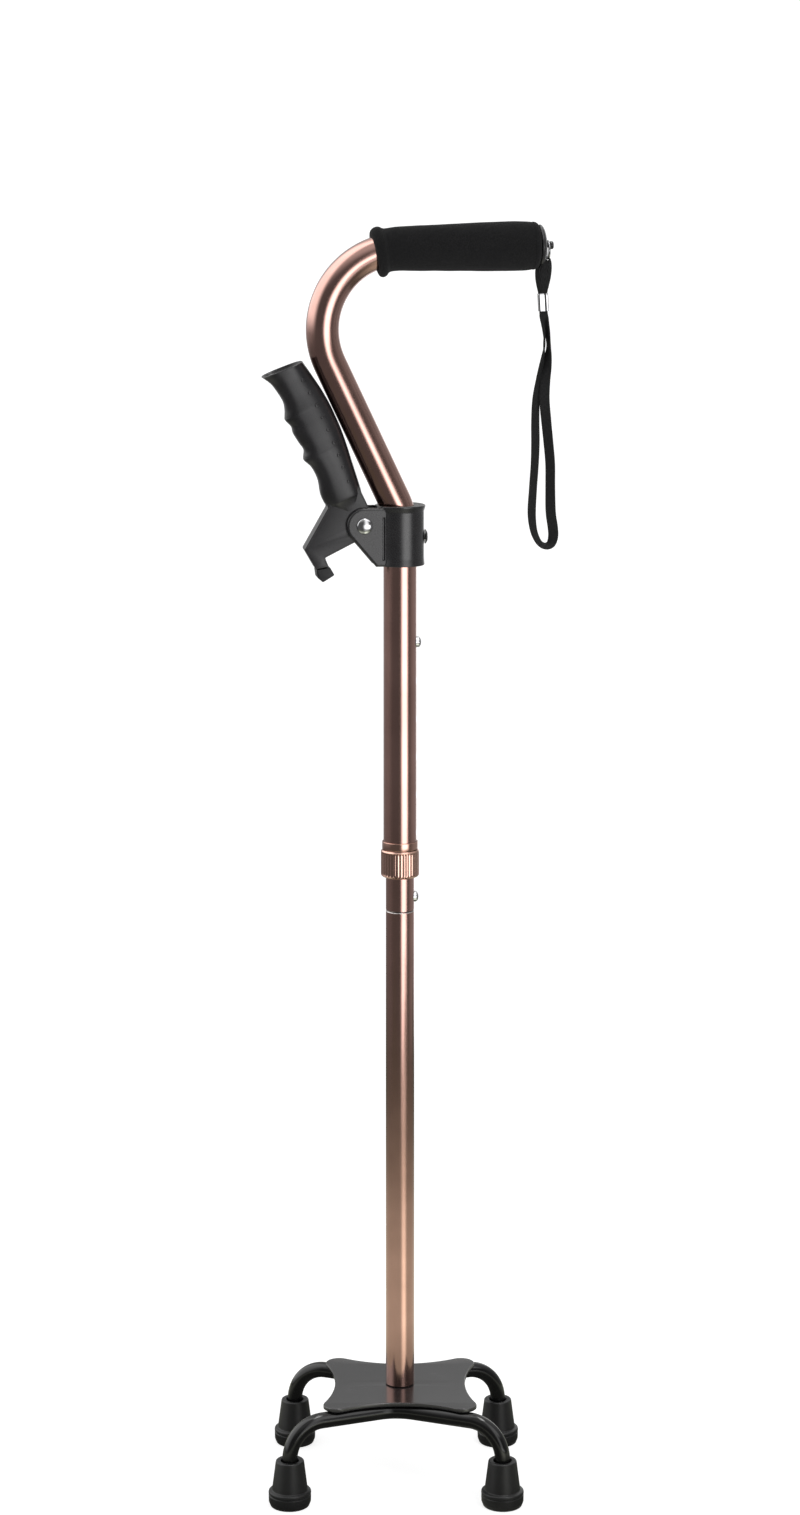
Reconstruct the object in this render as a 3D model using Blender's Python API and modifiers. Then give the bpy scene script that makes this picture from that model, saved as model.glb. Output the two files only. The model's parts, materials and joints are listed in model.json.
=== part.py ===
"""Quad walking cane with a fold-out stand-assist lever.

Metres, +Z up, the floor is Z = 0, and the origin is under the middle of the whole cane. The cane
stands at its shortest setting. The stem frame holds the tubes and the handle, and is turned a
little on the base, which is square to the axes.
"""

import math

import bmesh
import bpy
from mathutils import Matrix, Vector

# Whole cane
OBJECT_NAME = "quad_walking_cane"
STEM_X = -0.00776
STEM_TURN = math.radians(8)
GAP = 0.0003
TUBE_SIDES = 20
HOLE_SIDES = 16
ROD_SIDES = 12
WIRE_SIDES = 8
FINE_ARC = math.radians(8)
COARSE_ARC = math.radians(18)
MERGE = 0.00001
OVERSHOOT = 0.004
SHARP_EDGE = math.radians(40)

# Base: plate, legs and tips
PLATE_TOP = 0.0597
PLATE_THICKNESS = 0.0025
PLATE_HALF = (0.0505, 0.0470)
PLATE_WAIST = (0.0435, 0.0360)
PLATE_CORNER = 0.009
PLATE_CORNER_OVERLAP = (math.radians(20), math.radians(29))
PLATE_CORNER_STEP = math.radians(27)
LEG_RADIUS = 0.0050
LEG_BEND = 0.023
LEG_FEET_X = (-0.072, 0.067)
LEG_FEET_Y = 0.054
LEG_MIDDLE_Y = 0.0265
LEG_MIDDLE_BEND = 0.030
TIP_HEIGHT = 0.0292
TIP_BASE_RADIUS = 0.0140
TIP_BASE_HEIGHT = 0.0097
TIP_CONE = (0.0117, 0.0092)
TIP_SOCKET_FLOOR = 0.004
TIP_MOUTH = 0.0062
TIP_EDGE = 0.0015
TIP_WASHER_RADIUS = 0.0048
TIP_WASHER_THICKNESS = 0.0015

# Stem tubes
LOWER_RADIUS = 0.009525
LOWER_WALL = 0.0012
UPPER_RADIUS = 0.0111
UPPER_WALL = 0.0012
JOINT_LINE = 0.3765
MIDDLE_TOP = 0.577
SLEEVE_RADIUS = 0.0079
SLEEVE_WALL = 0.0010
SLEEVE_REACH = (0.038, 0.045)

# Base fixing
PLUG_RADIUS = 0.0079
PLUG_HEIGHT = 0.020
BOLT_RADIUS = 0.0030
BOLT_HEAD_RADIUS = 0.0055
BOLT_HEAD_HEIGHT = 0.0035
BOLT_HOLE = 0.0035
WASHER_RADIUS = 0.0085
WASHER_THICKNESS = 0.0015

# Snap buttons
BUTTON_RADIUS = 0.0036
BUTTON_FLANGE = 0.0042
BUTTON_FLANGE_THICKNESS = 0.0010
BUTTON_HOLE = 0.0040
BUTTON_DOME = 0.0018
BUTTON_DOME_ANGLES = (math.radians(60), math.radians(30), 0)
UPPER_BUTTON_Z = 0.556
UPPER_BUTTON_STANDS_OUT = 0.0034
UPPER_BUTTON_BACK = 0.0052
LOWER_BUTTON_Z = 0.3855
LOWER_BUTTON_STANDS_OUT = 0.0031
LOWER_BUTTON_BACK = 0.0038
HOLE_PITCH = 0.0254
HOLE_COUNT = 6
SPRING_THICKNESS = 0.0005
SPRING_WIDTH = 0.0050
SPRING_LENGTH = 0.030

# Handle: the tube's bends, as corners and radii, and the grip on its top run
HANDLE_LOW = 0.4193
LOW_BEND_Z = 0.643
LOW_BEND_RADIUS = 0.040
HANDLE_LEAN = math.radians(25.3)
TOP_BEND_RADIUS = 0.0539
GRIP_AXIS_Z = 0.8197
GRIP_RISE = math.radians(1)
TUBE_END_X = 0.0915
GRIP_START_X = -0.0200
GRIP_END_X = 0.0945
GRIP_BEAD_RADIUS = 0.0175
GRIP_BEAD_WIDTH = 0.0080
GRIP_RADII = (0.0153, 0.0168, 0.0155, 0.0145)
GRIP_RADII_AT = (0.62, 0.88, 0.97, 1.0)
CAP_RADIUS = 0.0142
CAP_BULGE = 0.0049
CAP_DOME = ((0.45, 0.82), (0.80, 0.45), (1.0, 0.10))
CAP_PLUG_RADIUS = 0.0094
CAP_PLUG_LENGTH = 0.012
POST_RADIUS = 0.0016
POST_HOLE = 0.0019
POST_NECK = 0.0026
POST_KNOB_RADIUS = 0.0027
POST_KNOB_LENGTH = 0.0024
POST_SHANK = 0.010

# Wrist strap
RING_RADIUS = 0.0058
RING_WIRE = 0.0008
STRAP_HALF_THICKNESS = 0.0015
STRAP_EYE = 0.0021
STRAP_EYE_HOLE = 0.00125
STRAP_EYE_SPAN = (math.radians(-20), math.radians(200))
STRAP_NECK_X = 0.0980
STRAP_NECK_HALF = 0.0027
CRIMP_LOW = 0.7770
CRIMP_HEIGHT = 0.0120
CRIMP_HALF = (0.0037, 0.0027)
CRIMP_WALL = 0.0006

# Locking collar at the foot of the handle tube
COLLAR_RING_RADIUS = 0.0120
COLLAR_TOP = 0.4230
COLLAR_RING_LOW = 0.4178
COLLAR_NECK_RADIUS = 0.0109
COLLAR_NECK_LOW = 0.4024
COLLAR_BORE = 0.0099
NUT_RADIUS = 0.0128
NUT_GROOVE = 0.0005
NUT_RIBS = 36
NUT_RIB_SHARES = (0.55, 0.65, 0.90)
NUT_TOP = 0.4174
NUT_LOW = 0.3995
NUT_BORE = 0.0113
NUT_LIP_BORE = 0.0107
NUT_LIP_TOP = 0.4018
NUT_CHAMFER = 0.0012
COLLET_RADIUS = 0.0103
COLLET_LOW = 0.3990
COLLET_TOP = 0.4020

# Clamp bracket and its lever
BRACKET_LOW = 0.6080
BRACKET_TOP = 0.6484
BRACKET_RADIUS = 0.0161
BRACKET_FOOT_RADIUS = 0.0165
FLANGE_RADIUS = 0.0172
FLANGE_HEIGHT = 0.0028
PIVOT = (-0.0254, 0.6354)
CHEEK_ROUND = 0.0118
CHEEK_FOOT_X = -0.0175
CHEEK_Y = (0.0085, 0.0120)
SLOT_END_X = -0.0162
RIVET_RADIUS = 0.0030
RIVET_HOLE = 0.0033
RIVET_HEAD_RADIUS = 0.0053
RIVET_HEAD_HEIGHT = 0.0023
RIVET_DOME = ((0.50, 0.88), (0.85, 0.50))
RIVET_TAIL_RADIUS = 0.0045
RIVET_TAIL_HEIGHT = 0.0012
RIVET_TAIL_TAPER = 0.8
RIVET_WASHER_RADIUS = 0.0058
RIVET_WASHER_THICKNESS = 0.0010
SCREW_Z = 0.6266
SCREW_RADIUS = 0.0020
SCREW_HOLE = 0.0023
SCREW_HEAD_RADIUS = 0.0048
SCREW_HEAD_HEIGHT = 0.0015
SCREW_HEAD_EDGE = (0.7, 0.4)
SCREW_TIP_X = 0.0085
LEVER_SWING = math.radians(58)
LEVER_HALF_WIDTH = 0.0080
LEVER_HUB = 0.0086
LEVER_LOWER_EDGE = (
    (-0.0397, -0.0155),
    (-0.0319, -0.0289),
    (-0.0234, -0.0274),
    (-0.0259, -0.0213),
    (-0.0062, -0.0114),
)
LEVER_BACK_EDGE = ((0.0070, 0.0055), (0.0038, 0.0111))
PAD_OUTLINE = (
    (-0.0317, -0.0293),
    (-0.0309, -0.0345),
    (-0.0272, -0.0377),
    (-0.0192, -0.0335),
    (-0.0226, -0.0277),
)
LEVER_GRIP_FOOT = Vector((-0.0140, 0.0180))
LEVER_GRIP_LEAN = math.radians(24.94)
LEVER_GRIP_SECTIONS = (
    # along the grip, front half-depth, back half-depth, half-width
    (0.000, 0.0117, 0.0143, 0.0105),
    (0.008, 0.0122, 0.0151, 0.0112),
    (0.018, 0.0094, 0.0163, 0.0116),
    (0.027, 0.0097, 0.0175, 0.0120),
    (0.034, 0.0125, 0.0183, 0.0124),
    (0.040, 0.0095, 0.0188, 0.0124),
    (0.0455, 0.0104, 0.0191, 0.0125),
    (0.053, 0.0116, 0.0192, 0.0125),
    (0.0575, 0.0104, 0.0192, 0.0124),
    (0.0637, 0.0125, 0.0190, 0.0123),
    (0.070, 0.0095, 0.0184, 0.0121),
    (0.076, 0.0085, 0.0176, 0.0120),
    (0.086, 0.0102, 0.0159, 0.0122),
    (0.0932, 0.0146, 0.0146, 0.0130),
)
GRIP_SECTION_POINTS = 16
TANG_HALF = (0.0050, 0.0030)
TANG_LENGTH = 0.070
TANG_ROOT = 0.008

# Looks: colour, roughness, metallic
COPPER = ((0.36, 0.235, 0.19), 0.28, 1.0)
BRIGHT_COPPER = ((0.55, 0.34, 0.24), 0.30, 1.0)
STEEL = ((0.62, 0.62, 0.63), 0.22, 1.0)
SPRING_STEEL = ((0.40, 0.40, 0.42), 0.35, 1.0)
BLACK_PAINT = ((0.022, 0.021, 0.022), 0.28, 0.0)
BLACK_NYLON = ((0.045, 0.043, 0.045), 0.42, 0.0)
BLACK_RUBBER = ((0.020, 0.020, 0.021), 0.70, 0.0)
BLACK_FOAM = ((0.014, 0.014, 0.015), 0.90, 0.0)
BLACK_WEBBING = ((0.016, 0.016, 0.017), 0.85, 0.0)
WHITE_NYLON = ((0.70, 0.70, 0.66), 0.50, 0.0)


# Scene and objects


def clear_scene():
    for obj in list(bpy.data.objects):
        bpy.data.objects.remove(obj, do_unlink=True)


def new_collection(name):
    collection = bpy.data.collections.new(name)
    bpy.context.scene.collection.children.link(collection)
    return collection


def new_frame(name, location, parent=None, turn=(0, 0, 0)):
    """An empty that other objects are placed from."""
    frame = bpy.data.objects.new(name, None)
    PARTS.objects.link(frame)
    frame.parent = parent
    frame.location = location
    frame.rotation_euler = turn
    frame.empty_display_size = 0.02
    return frame


def material_for(name, look):
    colour, roughness, metallic = look
    material = bpy.data.materials.new(name)
    material.use_nodes = True
    shader = material.node_tree.nodes["Principled BSDF"]
    shader.inputs["Base Color"].default_value = (*colour, 1)
    shader.inputs["Roughness"].default_value = roughness
    shader.inputs["Metallic"].default_value = metallic
    return material


def add_part(name, mesh, frame, look, at=(0, 0, 0), turn=(0, 0, 0)):
    mesh.materials.clear()
    mesh.materials.append(material_for(name, look))
    mesh.shade_smooth()
    mesh.set_sharp_from_angle(angle=SHARP_EDGE)
    part = bpy.data.objects.new(name, mesh)
    PARTS.objects.link(part)
    part.parent = frame
    part.location = at
    part.rotation_euler = turn
    return part


def add_cutter(name, mesh, frame, at=(0, 0, 0), turn=(0, 0, 0)):
    cutter = bpy.data.objects.new(name, mesh)
    CUTTERS.objects.link(cutter)
    cutter.parent = frame
    cutter.location = at
    cutter.rotation_euler = turn
    cutter.hide_render = True
    cutter.display_type = "WIRE"
    return cutter


def combine(part, other, operation="DIFFERENCE"):
    boolean = part.modifiers.new(operation.title(), "BOOLEAN")
    boolean.operation = operation
    boolean.solver = "EXACT"
    boolean.object = other


# Shapes, each as a mesh about its own origin


def mesh_of(name, bm):
    mesh = bpy.data.meshes.new(name)
    bm.to_mesh(mesh)
    bm.free()
    return mesh


def turned_mesh(name, profile, is_ring=False, steps=TUBE_SIDES):
    """A profile of (radius, height) points swung round Z. It runs down its outer side."""
    bm = bmesh.new()
    points = [bm.verts.new((radius, 0, height)) for radius, height in profile]
    for a, b in zip(points, points[1:]):
        bm.edges.new((a, b))
    if is_ring:
        bm.edges.new((points[-1], points[0]))
    guide = bpy.data.objects.new(name, mesh_of(name, bm))
    PARTS.objects.link(guide)
    screw = guide.modifiers.new("Turn", "SCREW")
    screw.steps = steps
    screw.render_steps = steps
    screw.use_merge_vertices = True
    screw.merge_threshold = MERGE
    return baked_mesh(guide)


def baked_mesh(guide):
    """The welded mesh of an object as it is evaluated. The object itself is removed."""
    graph = bpy.context.evaluated_depsgraph_get()
    mesh = bpy.data.meshes.new_from_object(guide.evaluated_get(graph))
    mesh.name = guide.name
    bpy.data.objects.remove(guide, do_unlink=True)
    bm = bmesh.new()
    bm.from_mesh(mesh)
    bmesh.ops.remove_doubles(bm, verts=bm.verts, dist=MERGE)
    bm.to_mesh(mesh)
    bm.free()
    return mesh


def swept_mesh(name, points, radius, sides=TUBE_SIDES, scales=None, closed=False, capped=True):
    """A round section carried along points. Scales, one for each point, multiply the radius."""
    curve = bpy.data.curves.new(name, "CURVE")
    curve.dimensions = "3D"
    curve.bevel_depth = radius
    curve.bevel_resolution = sides // 2 - 2
    curve.use_fill_caps = capped and not closed
    spline = curve.splines.new("POLY")
    spline.points.add(len(points) - 1)
    for i, point in enumerate(points):
        spline.points[i].co = (*point, 1)
        spline.points[i].radius = scales[i] if scales else 1
    spline.use_cyclic_u = closed
    guide = bpy.data.objects.new(name, curve)
    PARTS.objects.link(guide)
    return baked_mesh(guide)


def flat_mesh(name, outlines, half_thickness, upright=False):
    """Flat outlines, the inner ones as holes, thickened both ways. Upright ones lie in X and Z."""
    curve = bpy.data.curves.new(name, "CURVE")
    curve.dimensions = "2D"
    curve.fill_mode = "BOTH"
    curve.extrude = half_thickness
    for outline in outlines:
        spline = curve.splines.new("POLY")
        spline.points.add(len(outline) - 1)
        for point, (x, y) in zip(spline.points, outline):
            point.co = (x, y, 0, 1)
        spline.use_cyclic_u = True
    guide = bpy.data.objects.new(name, curve)
    PARTS.objects.link(guide)
    mesh = baked_mesh(guide)
    if upright:
        mesh.transform(Matrix.Rotation(math.pi / 2, 4, "X"))
    return mesh


def rod_mesh(name, radius, low, high, sides=TUBE_SIDES):
    bm = bmesh.new()
    bmesh.ops.create_cone(
        bm,
        cap_ends=True,
        segments=sides,
        radius1=radius,
        radius2=radius,
        depth=high - low,
        matrix=Matrix.Translation((0, 0, (low + high) / 2)),
    )
    return mesh_of(name, bm)


def box_mesh(name, low, high):
    low, high = Vector(low), Vector(high)
    bm = bmesh.new()
    size = Matrix.Diagonal((*(high - low), 1))
    bmesh.ops.create_cube(bm, size=1, matrix=Matrix.Translation((low + high) / 2) @ size)
    return mesh_of(name, bm)


def lofted_mesh(name, rings):
    """A skin over rings that all have the same number of points, closed at both ends."""
    bm = bmesh.new()
    rows = [[bm.verts.new(point) for point in ring] for ring in rings]
    for low, high in zip(rows, rows[1:]):
        for i in range(len(low)):
            j = (i + 1) % len(low)
            bm.faces.new((low[i], low[j], high[j], high[i]))
    bm.faces.new(rows[0])
    bm.faces.new(rows[-1])
    bmesh.ops.recalc_face_normals(bm, faces=bm.faces)
    return mesh_of(name, bm)


def open_tube(name, radius, low, high, frame, look, wall):
    """A tube as an open cylinder with a wall on its inner side."""
    bm = bmesh.new()
    bmesh.ops.create_cone(
        bm,
        cap_ends=False,
        segments=TUBE_SIDES,
        radius1=radius,
        radius2=radius,
        depth=high - low,
        matrix=Matrix.Translation((0, 0, (low + high) / 2)),
    )
    tube = add_part(name, mesh_of(name, bm), frame, look)
    thicken(tube, wall)
    return tube


def thicken(part, wall, offset=-1):
    shell = part.modifiers.new("Wall", "SOLIDIFY")
    shell.thickness = wall
    shell.offset = offset


# Paths and outlines


def arc(centre, radius, start, end, step):
    """Points round a flat arc, from the start angle to the end angle."""
    count = max(1, math.ceil(abs(end - start) / step))
    angles = [start + (end - start) * i / count for i in range(count + 1)]
    return [
        (centre[0] + radius * math.cos(a), centre[1] + radius * math.sin(a)) for a in angles
    ]


def circle(centre, radius, sides=TUBE_SIDES):
    return arc(centre, radius, 0, 2 * math.pi, 2 * math.pi / sides)[:-1]


def bent_path(corners, radii, step):
    """Points along straight runs between corners, with an arc of its own radius at each bend."""
    corners = [Vector(corner) for corner in corners]
    points = [corners[0]]
    for before, corner, after, radius in zip(corners, corners[1:], corners[2:], radii):
        run = (corner - before).normalized()
        leave = (after - corner).normalized()
        turn = run.angle(leave)
        inward = (leave - run * run.dot(leave)).normalized()
        start = corner - run * radius * math.tan(turn / 2)
        middle = start + inward * radius
        count = math.ceil(turn / step)
        for i in range(count + 1):
            angle = turn * i / count
            points.append(middle - inward * radius * math.cos(angle) + run * radius * math.sin(angle))
    points.append(corners[-1])
    return points


def handle_path(end_x, start_z=HANDLE_LOW):
    """The handle tube's centre line in the stem frame, from start_z to end_x on its top run."""
    lean = Vector((-math.sin(HANDLE_LEAN), 0, math.cos(HANDLE_LEAN)))
    rise = math.tan(GRIP_RISE)
    low_corner = Vector((0, 0, LOW_BEND_Z))
    reach = (GRIP_AXIS_Z - LOW_BEND_Z) / (lean.z - rise * lean.x)
    top_corner = low_corner + lean * reach
    end = (end_x, 0, GRIP_AXIS_Z + rise * end_x)
    corners = [(0, 0, start_z), low_corner, top_corner, end]
    return bent_path(corners, (LOW_BEND_RADIUS, TOP_BEND_RADIUS), FINE_ARC)


def point_on_grip(x):
    return Vector((x, 0, GRIP_AXIS_Z + math.tan(GRIP_RISE) * x))


# Base


def plate_outline():
    """Four round corners joined by sides that bow inwards to the waists."""
    overlap_x, overlap_y = PLATE_CORNER_OVERLAP
    centre = (PLATE_HALF[0] - PLATE_CORNER, PLATE_HALF[1] - PLATE_CORNER)
    corner = arc(centre, PLATE_CORNER, -overlap_x, math.pi / 2 + overlap_y, PLATE_CORNER_STEP)
    quarters = [corner]
    for sign_x, sign_y, backwards in ((-1, 1, True), (-1, -1, False), (1, -1, True)):
        quarter = [(x * sign_x, y * sign_y) for x, y in corner]
        quarters.append(quarter[::-1] if backwards else quarter)
    waists = [(0, PLATE_WAIST[1]), (-PLATE_WAIST[0], 0), (0, -PLATE_WAIST[1]), (PLATE_WAIST[0], 0)]
    outline = []
    for i, (quarter, waist) in enumerate(zip(quarters, waists)):
        outline += quarter
        outline += bowed_side(quarter[-1], waist, quarters[(i + 1) % len(quarters)][0])
    return outline


def bowed_side(start, middle, end):
    """The inner points of an arc through three points, the second of them half-way."""
    start, middle, end = Vector(start), Vector(middle), Vector(end)
    chord_middle = (start + end) / 2
    depth = (middle - chord_middle).length
    half = (end - start).length / 2
    radius = (half * half + depth * depth) / (2 * depth)
    centre = middle - (middle - chord_middle).normalized() * radius
    first = math.atan2(*(start - centre).yx)
    swing = 2 * math.asin(half / radius)
    towards = -1 if (start - centre).cross(end - centre) < 0 else 1
    return arc(centre, radius, first, first + towards * swing, FINE_ARC)[1:-1]


def add_base_plate():
    outlines = [plate_outline(), circle((0, 0), BOLT_HOLE)]
    mesh = flat_mesh("base_plate", outlines, PLATE_THICKNESS / 2)
    add_part("base_plate", mesh, BASE, BLACK_PAINT, (0, 0, PLATE_TOP - PLATE_THICKNESS / 2))


def add_legs():
    """Two rods under the plate, each bent in plan at its middle and down at both ends."""
    level = PLATE_TOP - PLATE_THICKNESS - GAP - LEG_RADIUS
    foot = TIP_SOCKET_FLOOR + TIP_WASHER_THICKNESS + 2 * GAP
    left, right = LEG_FEET_X
    for name, side in (("front_leg", -1), ("rear_leg", 1)):
        y = side * LEG_FEET_Y
        corners = [
            (left, y, foot),
            (left, y, level),
            ((left + right) / 2, side * LEG_MIDDLE_Y, level),
            (right, y, level),
            (right, y, foot),
        ]
        points = bent_path(corners, (LEG_BEND, LEG_MIDDLE_BEND, LEG_BEND), COARSE_ARC)
        add_part(name, swept_mesh(name, points, LEG_RADIUS, ROD_SIDES), BASE, BLACK_PAINT)


def tip_profile():
    socket = LEG_RADIUS + GAP
    cone_low, cone_high = TIP_CONE
    return (
        (0, TIP_SOCKET_FLOOR),
        (socket, TIP_SOCKET_FLOOR),
        (socket, TIP_HEIGHT - 2 * TIP_EDGE),
        (TIP_MOUTH, TIP_HEIGHT),
        (cone_high - TIP_EDGE / 2, TIP_HEIGHT),
        (cone_high, TIP_HEIGHT - TIP_EDGE / 2),
        (cone_low, TIP_BASE_HEIGHT + TIP_EDGE / 2),
        (TIP_BASE_RADIUS - TIP_EDGE / 2, TIP_BASE_HEIGHT),
        (TIP_BASE_RADIUS, TIP_BASE_HEIGHT - TIP_EDGE),
        (TIP_BASE_RADIUS, TIP_EDGE),
        (TIP_BASE_RADIUS - TIP_EDGE, 0),
        (0, 0),
    )


def add_tips():
    washer_low = TIP_SOCKET_FLOOR + GAP
    for x, side in zip(LEG_FEET_X, ("left", "right")):
        for y, end in ((-LEG_FEET_Y, "front"), (LEG_FEET_Y, "rear")):
            place = f"{end}_{side}"
            tip = turned_mesh(f"tip_{place}", tip_profile())
            add_part(f"tip_{place}", tip, BASE, BLACK_RUBBER, (x, y, 0))
            washer = rod_mesh(
                f"tip_washer_{place}", TIP_WASHER_RADIUS, 0, TIP_WASHER_THICKNESS, ROD_SIDES
            )
            add_part(f"tip_washer_{place}", washer, BASE, STEEL, (x, y, washer_low))


def add_base_fixing():
    """A plug in the foot of the tube, and the bolt that draws it down on the plate."""
    plug_low = PLATE_TOP + 2 * GAP
    plug = [
        (PLUG_RADIUS, plug_low + PLUG_HEIGHT),
        (PLUG_RADIUS, plug_low),
        (BOLT_HOLE, plug_low),
        (BOLT_HOLE, plug_low + PLUG_HEIGHT),
    ]
    add_part("base_plug", turned_mesh("base_plug", plug, True), STEM, WHITE_NYLON)
    washer_top = PLATE_TOP - PLATE_THICKNESS - GAP
    washer = [
        (WASHER_RADIUS, washer_top),
        (WASHER_RADIUS, washer_top - WASHER_THICKNESS),
        (BOLT_HOLE, washer_top - WASHER_THICKNESS),
        (BOLT_HOLE, washer_top),
    ]
    add_part("base_washer", turned_mesh("base_washer", washer, True), STEM, STEEL)
    head_top = washer_top - WASHER_THICKNESS - GAP
    bolt = add_part(
        "base_bolt",
        rod_mesh("base_bolt", BOLT_HEAD_RADIUS, head_top - BOLT_HEAD_HEIGHT, head_top, 6),
        STEM,
        STEEL,
    )
    shank = rod_mesh("bolt_shank", BOLT_RADIUS, head_top - BOLT_HEAD_HEIGHT / 2, plug_low + PLUG_HEIGHT)
    combine(bolt, add_cutter("bolt_shank", shank, STEM), "UNION")


# Stem


def add_tubes():
    """The base tube, the connector sleeve in it, and the middle tube that plugs on the sleeve."""
    open_tube("base_tube", LOWER_RADIUS, PLATE_TOP + GAP, JOINT_LINE, STEM, COPPER, LOWER_WALL)
    low, high = JOINT_LINE - SLEEVE_REACH[0], JOINT_LINE + SLEEVE_REACH[1]
    sleeve = open_tube("joint_sleeve", SLEEVE_RADIUS, low, high, STEM, STEEL, SLEEVE_WALL)
    middle = open_tube(
        "middle_tube", LOWER_RADIUS, JOINT_LINE + GAP, MIDDLE_TOP, STEM, COPPER, LOWER_WALL
    )
    lower_hole = side_hole("lower_button_hole", BUTTON_HOLE, LOWER_BUTTON_Z)
    combine(sleeve, lower_hole)
    combine(middle, lower_hole)
    combine(middle, side_hole("upper_button_hole", BUTTON_HOLE, UPPER_BUTTON_Z))


def side_hole(name, radius, z):
    """A cutter for a hole in the +X side of the stem."""
    rod = rod_mesh(name, radius, 0, UPPER_RADIUS + 2 * OVERSHOOT, HOLE_SIDES)
    return add_cutter(name, rod, STEM, (0, 0, z), (0, math.pi / 2, 0))


def add_button(name, z, back, top):
    """A snap button with its axis along X: a domed pin on a flange that keeps it in the tube."""
    shoulder = back + BUTTON_FLANGE_THICKNESS
    dome = [(0, top)]
    for a in BUTTON_DOME_ANGLES:
        dome.append((BUTTON_RADIUS * math.cos(a), top - BUTTON_DOME * (1 - math.sin(a))))
    profile = dome + [
        (BUTTON_RADIUS, shoulder),
        (BUTTON_FLANGE, shoulder),
        (BUTTON_FLANGE, back),
        (0, back),
    ]
    mesh = turned_mesh(name, profile, steps=HOLE_SIDES)
    add_part(name, mesh, STEM, STEEL, (0, 0, z), (0, math.pi / 2, 0))


def add_spring(name, z, back, inner_radius):
    """A leaf bent to a V: one arm behind the button and the other on the far wall."""
    reach = math.sqrt(inner_radius**2 - (SPRING_WIDTH / 2) ** 2) - 2 * GAP - SPRING_THICKNESS
    near = back - GAP - SPRING_THICKNESS
    bend = SPRING_LENGTH / 8
    points = (
        (near, z + BUTTON_FLANGE),
        (near, z - BUTTON_FLANGE),
        (0, z - SPRING_LENGTH),
        (-bend / 2, z - SPRING_LENGTH - bend / 4),
        (-bend, z - SPRING_LENGTH),
        (-reach, z),
    )
    bm = bmesh.new()
    rows = [
        [bm.verts.new((x, side * SPRING_WIDTH / 2, height)) for side in (-1, 1)]
        for x, height in points
    ]
    for (a, b), (c, d) in zip(rows, rows[1:]):
        bm.faces.new((a, b, d, c))
    spring = add_part(name, mesh_of(name, bm), STEM, SPRING_STEEL)
    thicken(spring, SPRING_THICKNESS, 0)


def add_snap_buttons():
    upper_top = UPPER_RADIUS + UPPER_BUTTON_STANDS_OUT
    lower_top = LOWER_RADIUS + LOWER_BUTTON_STANDS_OUT
    add_button("upper_button", UPPER_BUTTON_Z, UPPER_BUTTON_BACK, upper_top)
    add_button("lower_button", LOWER_BUTTON_Z, LOWER_BUTTON_BACK, lower_top)
    upper_room = LOWER_RADIUS - LOWER_WALL
    lower_room = SLEEVE_RADIUS - SLEEVE_WALL
    add_spring("upper_button_spring", UPPER_BUTTON_Z, UPPER_BUTTON_BACK, upper_room)
    add_spring("lower_button_spring", LOWER_BUTTON_Z, LOWER_BUTTON_BACK, lower_room)


# Handle


def add_handle_tube():
    mesh = swept_mesh("handle_tube", handle_path(TUBE_END_X), UPPER_RADIUS, capped=False)
    tube = add_part("handle_tube", mesh, STEM, COPPER)
    thicken(tube, UPPER_WALL)
    for i in range(HOLE_COUNT):
        hole_z = UPPER_BUTTON_Z - i * HOLE_PITCH
        combine(tube, side_hole(f"height_hole_{i}", BUTTON_HOLE, hole_z))
    combine(tube, side_hole("screw_hole", SCREW_HOLE, SCREW_Z))


def add_collar():
    """A ring and threaded neck fixed to the handle tube, a nut on the neck, and a collet in it."""
    socket = UPPER_RADIUS + GAP
    sleeve = [
        (COLLAR_RING_RADIUS, COLLAR_TOP),
        (COLLAR_RING_RADIUS, COLLAR_RING_LOW),
        (COLLAR_NECK_RADIUS, COLLAR_RING_LOW),
        (COLLAR_NECK_RADIUS, COLLAR_NECK_LOW),
        (COLLAR_BORE, COLLAR_NECK_LOW),
        (COLLAR_BORE, HANDLE_LOW - GAP),
        (socket, HANDLE_LOW - GAP),
        (socket, COLLAR_TOP),
    ]
    add_part("collar_sleeve", turned_mesh("collar_sleeve", sleeve, True), STEM, BRIGHT_COPPER)
    collet = [
        (COLLET_RADIUS, COLLET_TOP),
        (COLLET_RADIUS, COLLET_LOW),
        (COLLAR_BORE, COLLET_LOW),
        (COLLAR_BORE, COLLET_TOP),
    ]
    add_part("collar_collet", turned_mesh("collar_collet", collet, True), STEM, BRIGHT_COPPER)
    nut = [
        (NUT_RADIUS - NUT_CHAMFER / 2, NUT_TOP),
        (NUT_RADIUS, NUT_TOP - NUT_CHAMFER / 2),
        (NUT_RADIUS, NUT_LOW + NUT_CHAMFER),
        (NUT_RADIUS - NUT_CHAMFER, NUT_LOW),
        (NUT_LIP_BORE, NUT_LOW),
        (NUT_LIP_BORE, NUT_LIP_TOP),
        (NUT_BORE, NUT_LIP_TOP),
        (NUT_BORE, NUT_TOP),
    ]
    nut_mesh = turned_mesh("collar_nut", nut, True, 2 * NUT_RIBS)
    collar_nut = add_part("collar_nut", nut_mesh, STEM, BRIGHT_COPPER)
    ribs = flat_mesh("nut_ribs", [rib_outline()], (NUT_TOP - NUT_LOW) / 2 + OVERSHOOT)
    ribs.transform(Matrix.Translation((0, 0, (NUT_TOP + NUT_LOW) / 2)))
    combine(collar_nut, add_cutter("nut_ribs", ribs, STEM), "INTERSECT")


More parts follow.
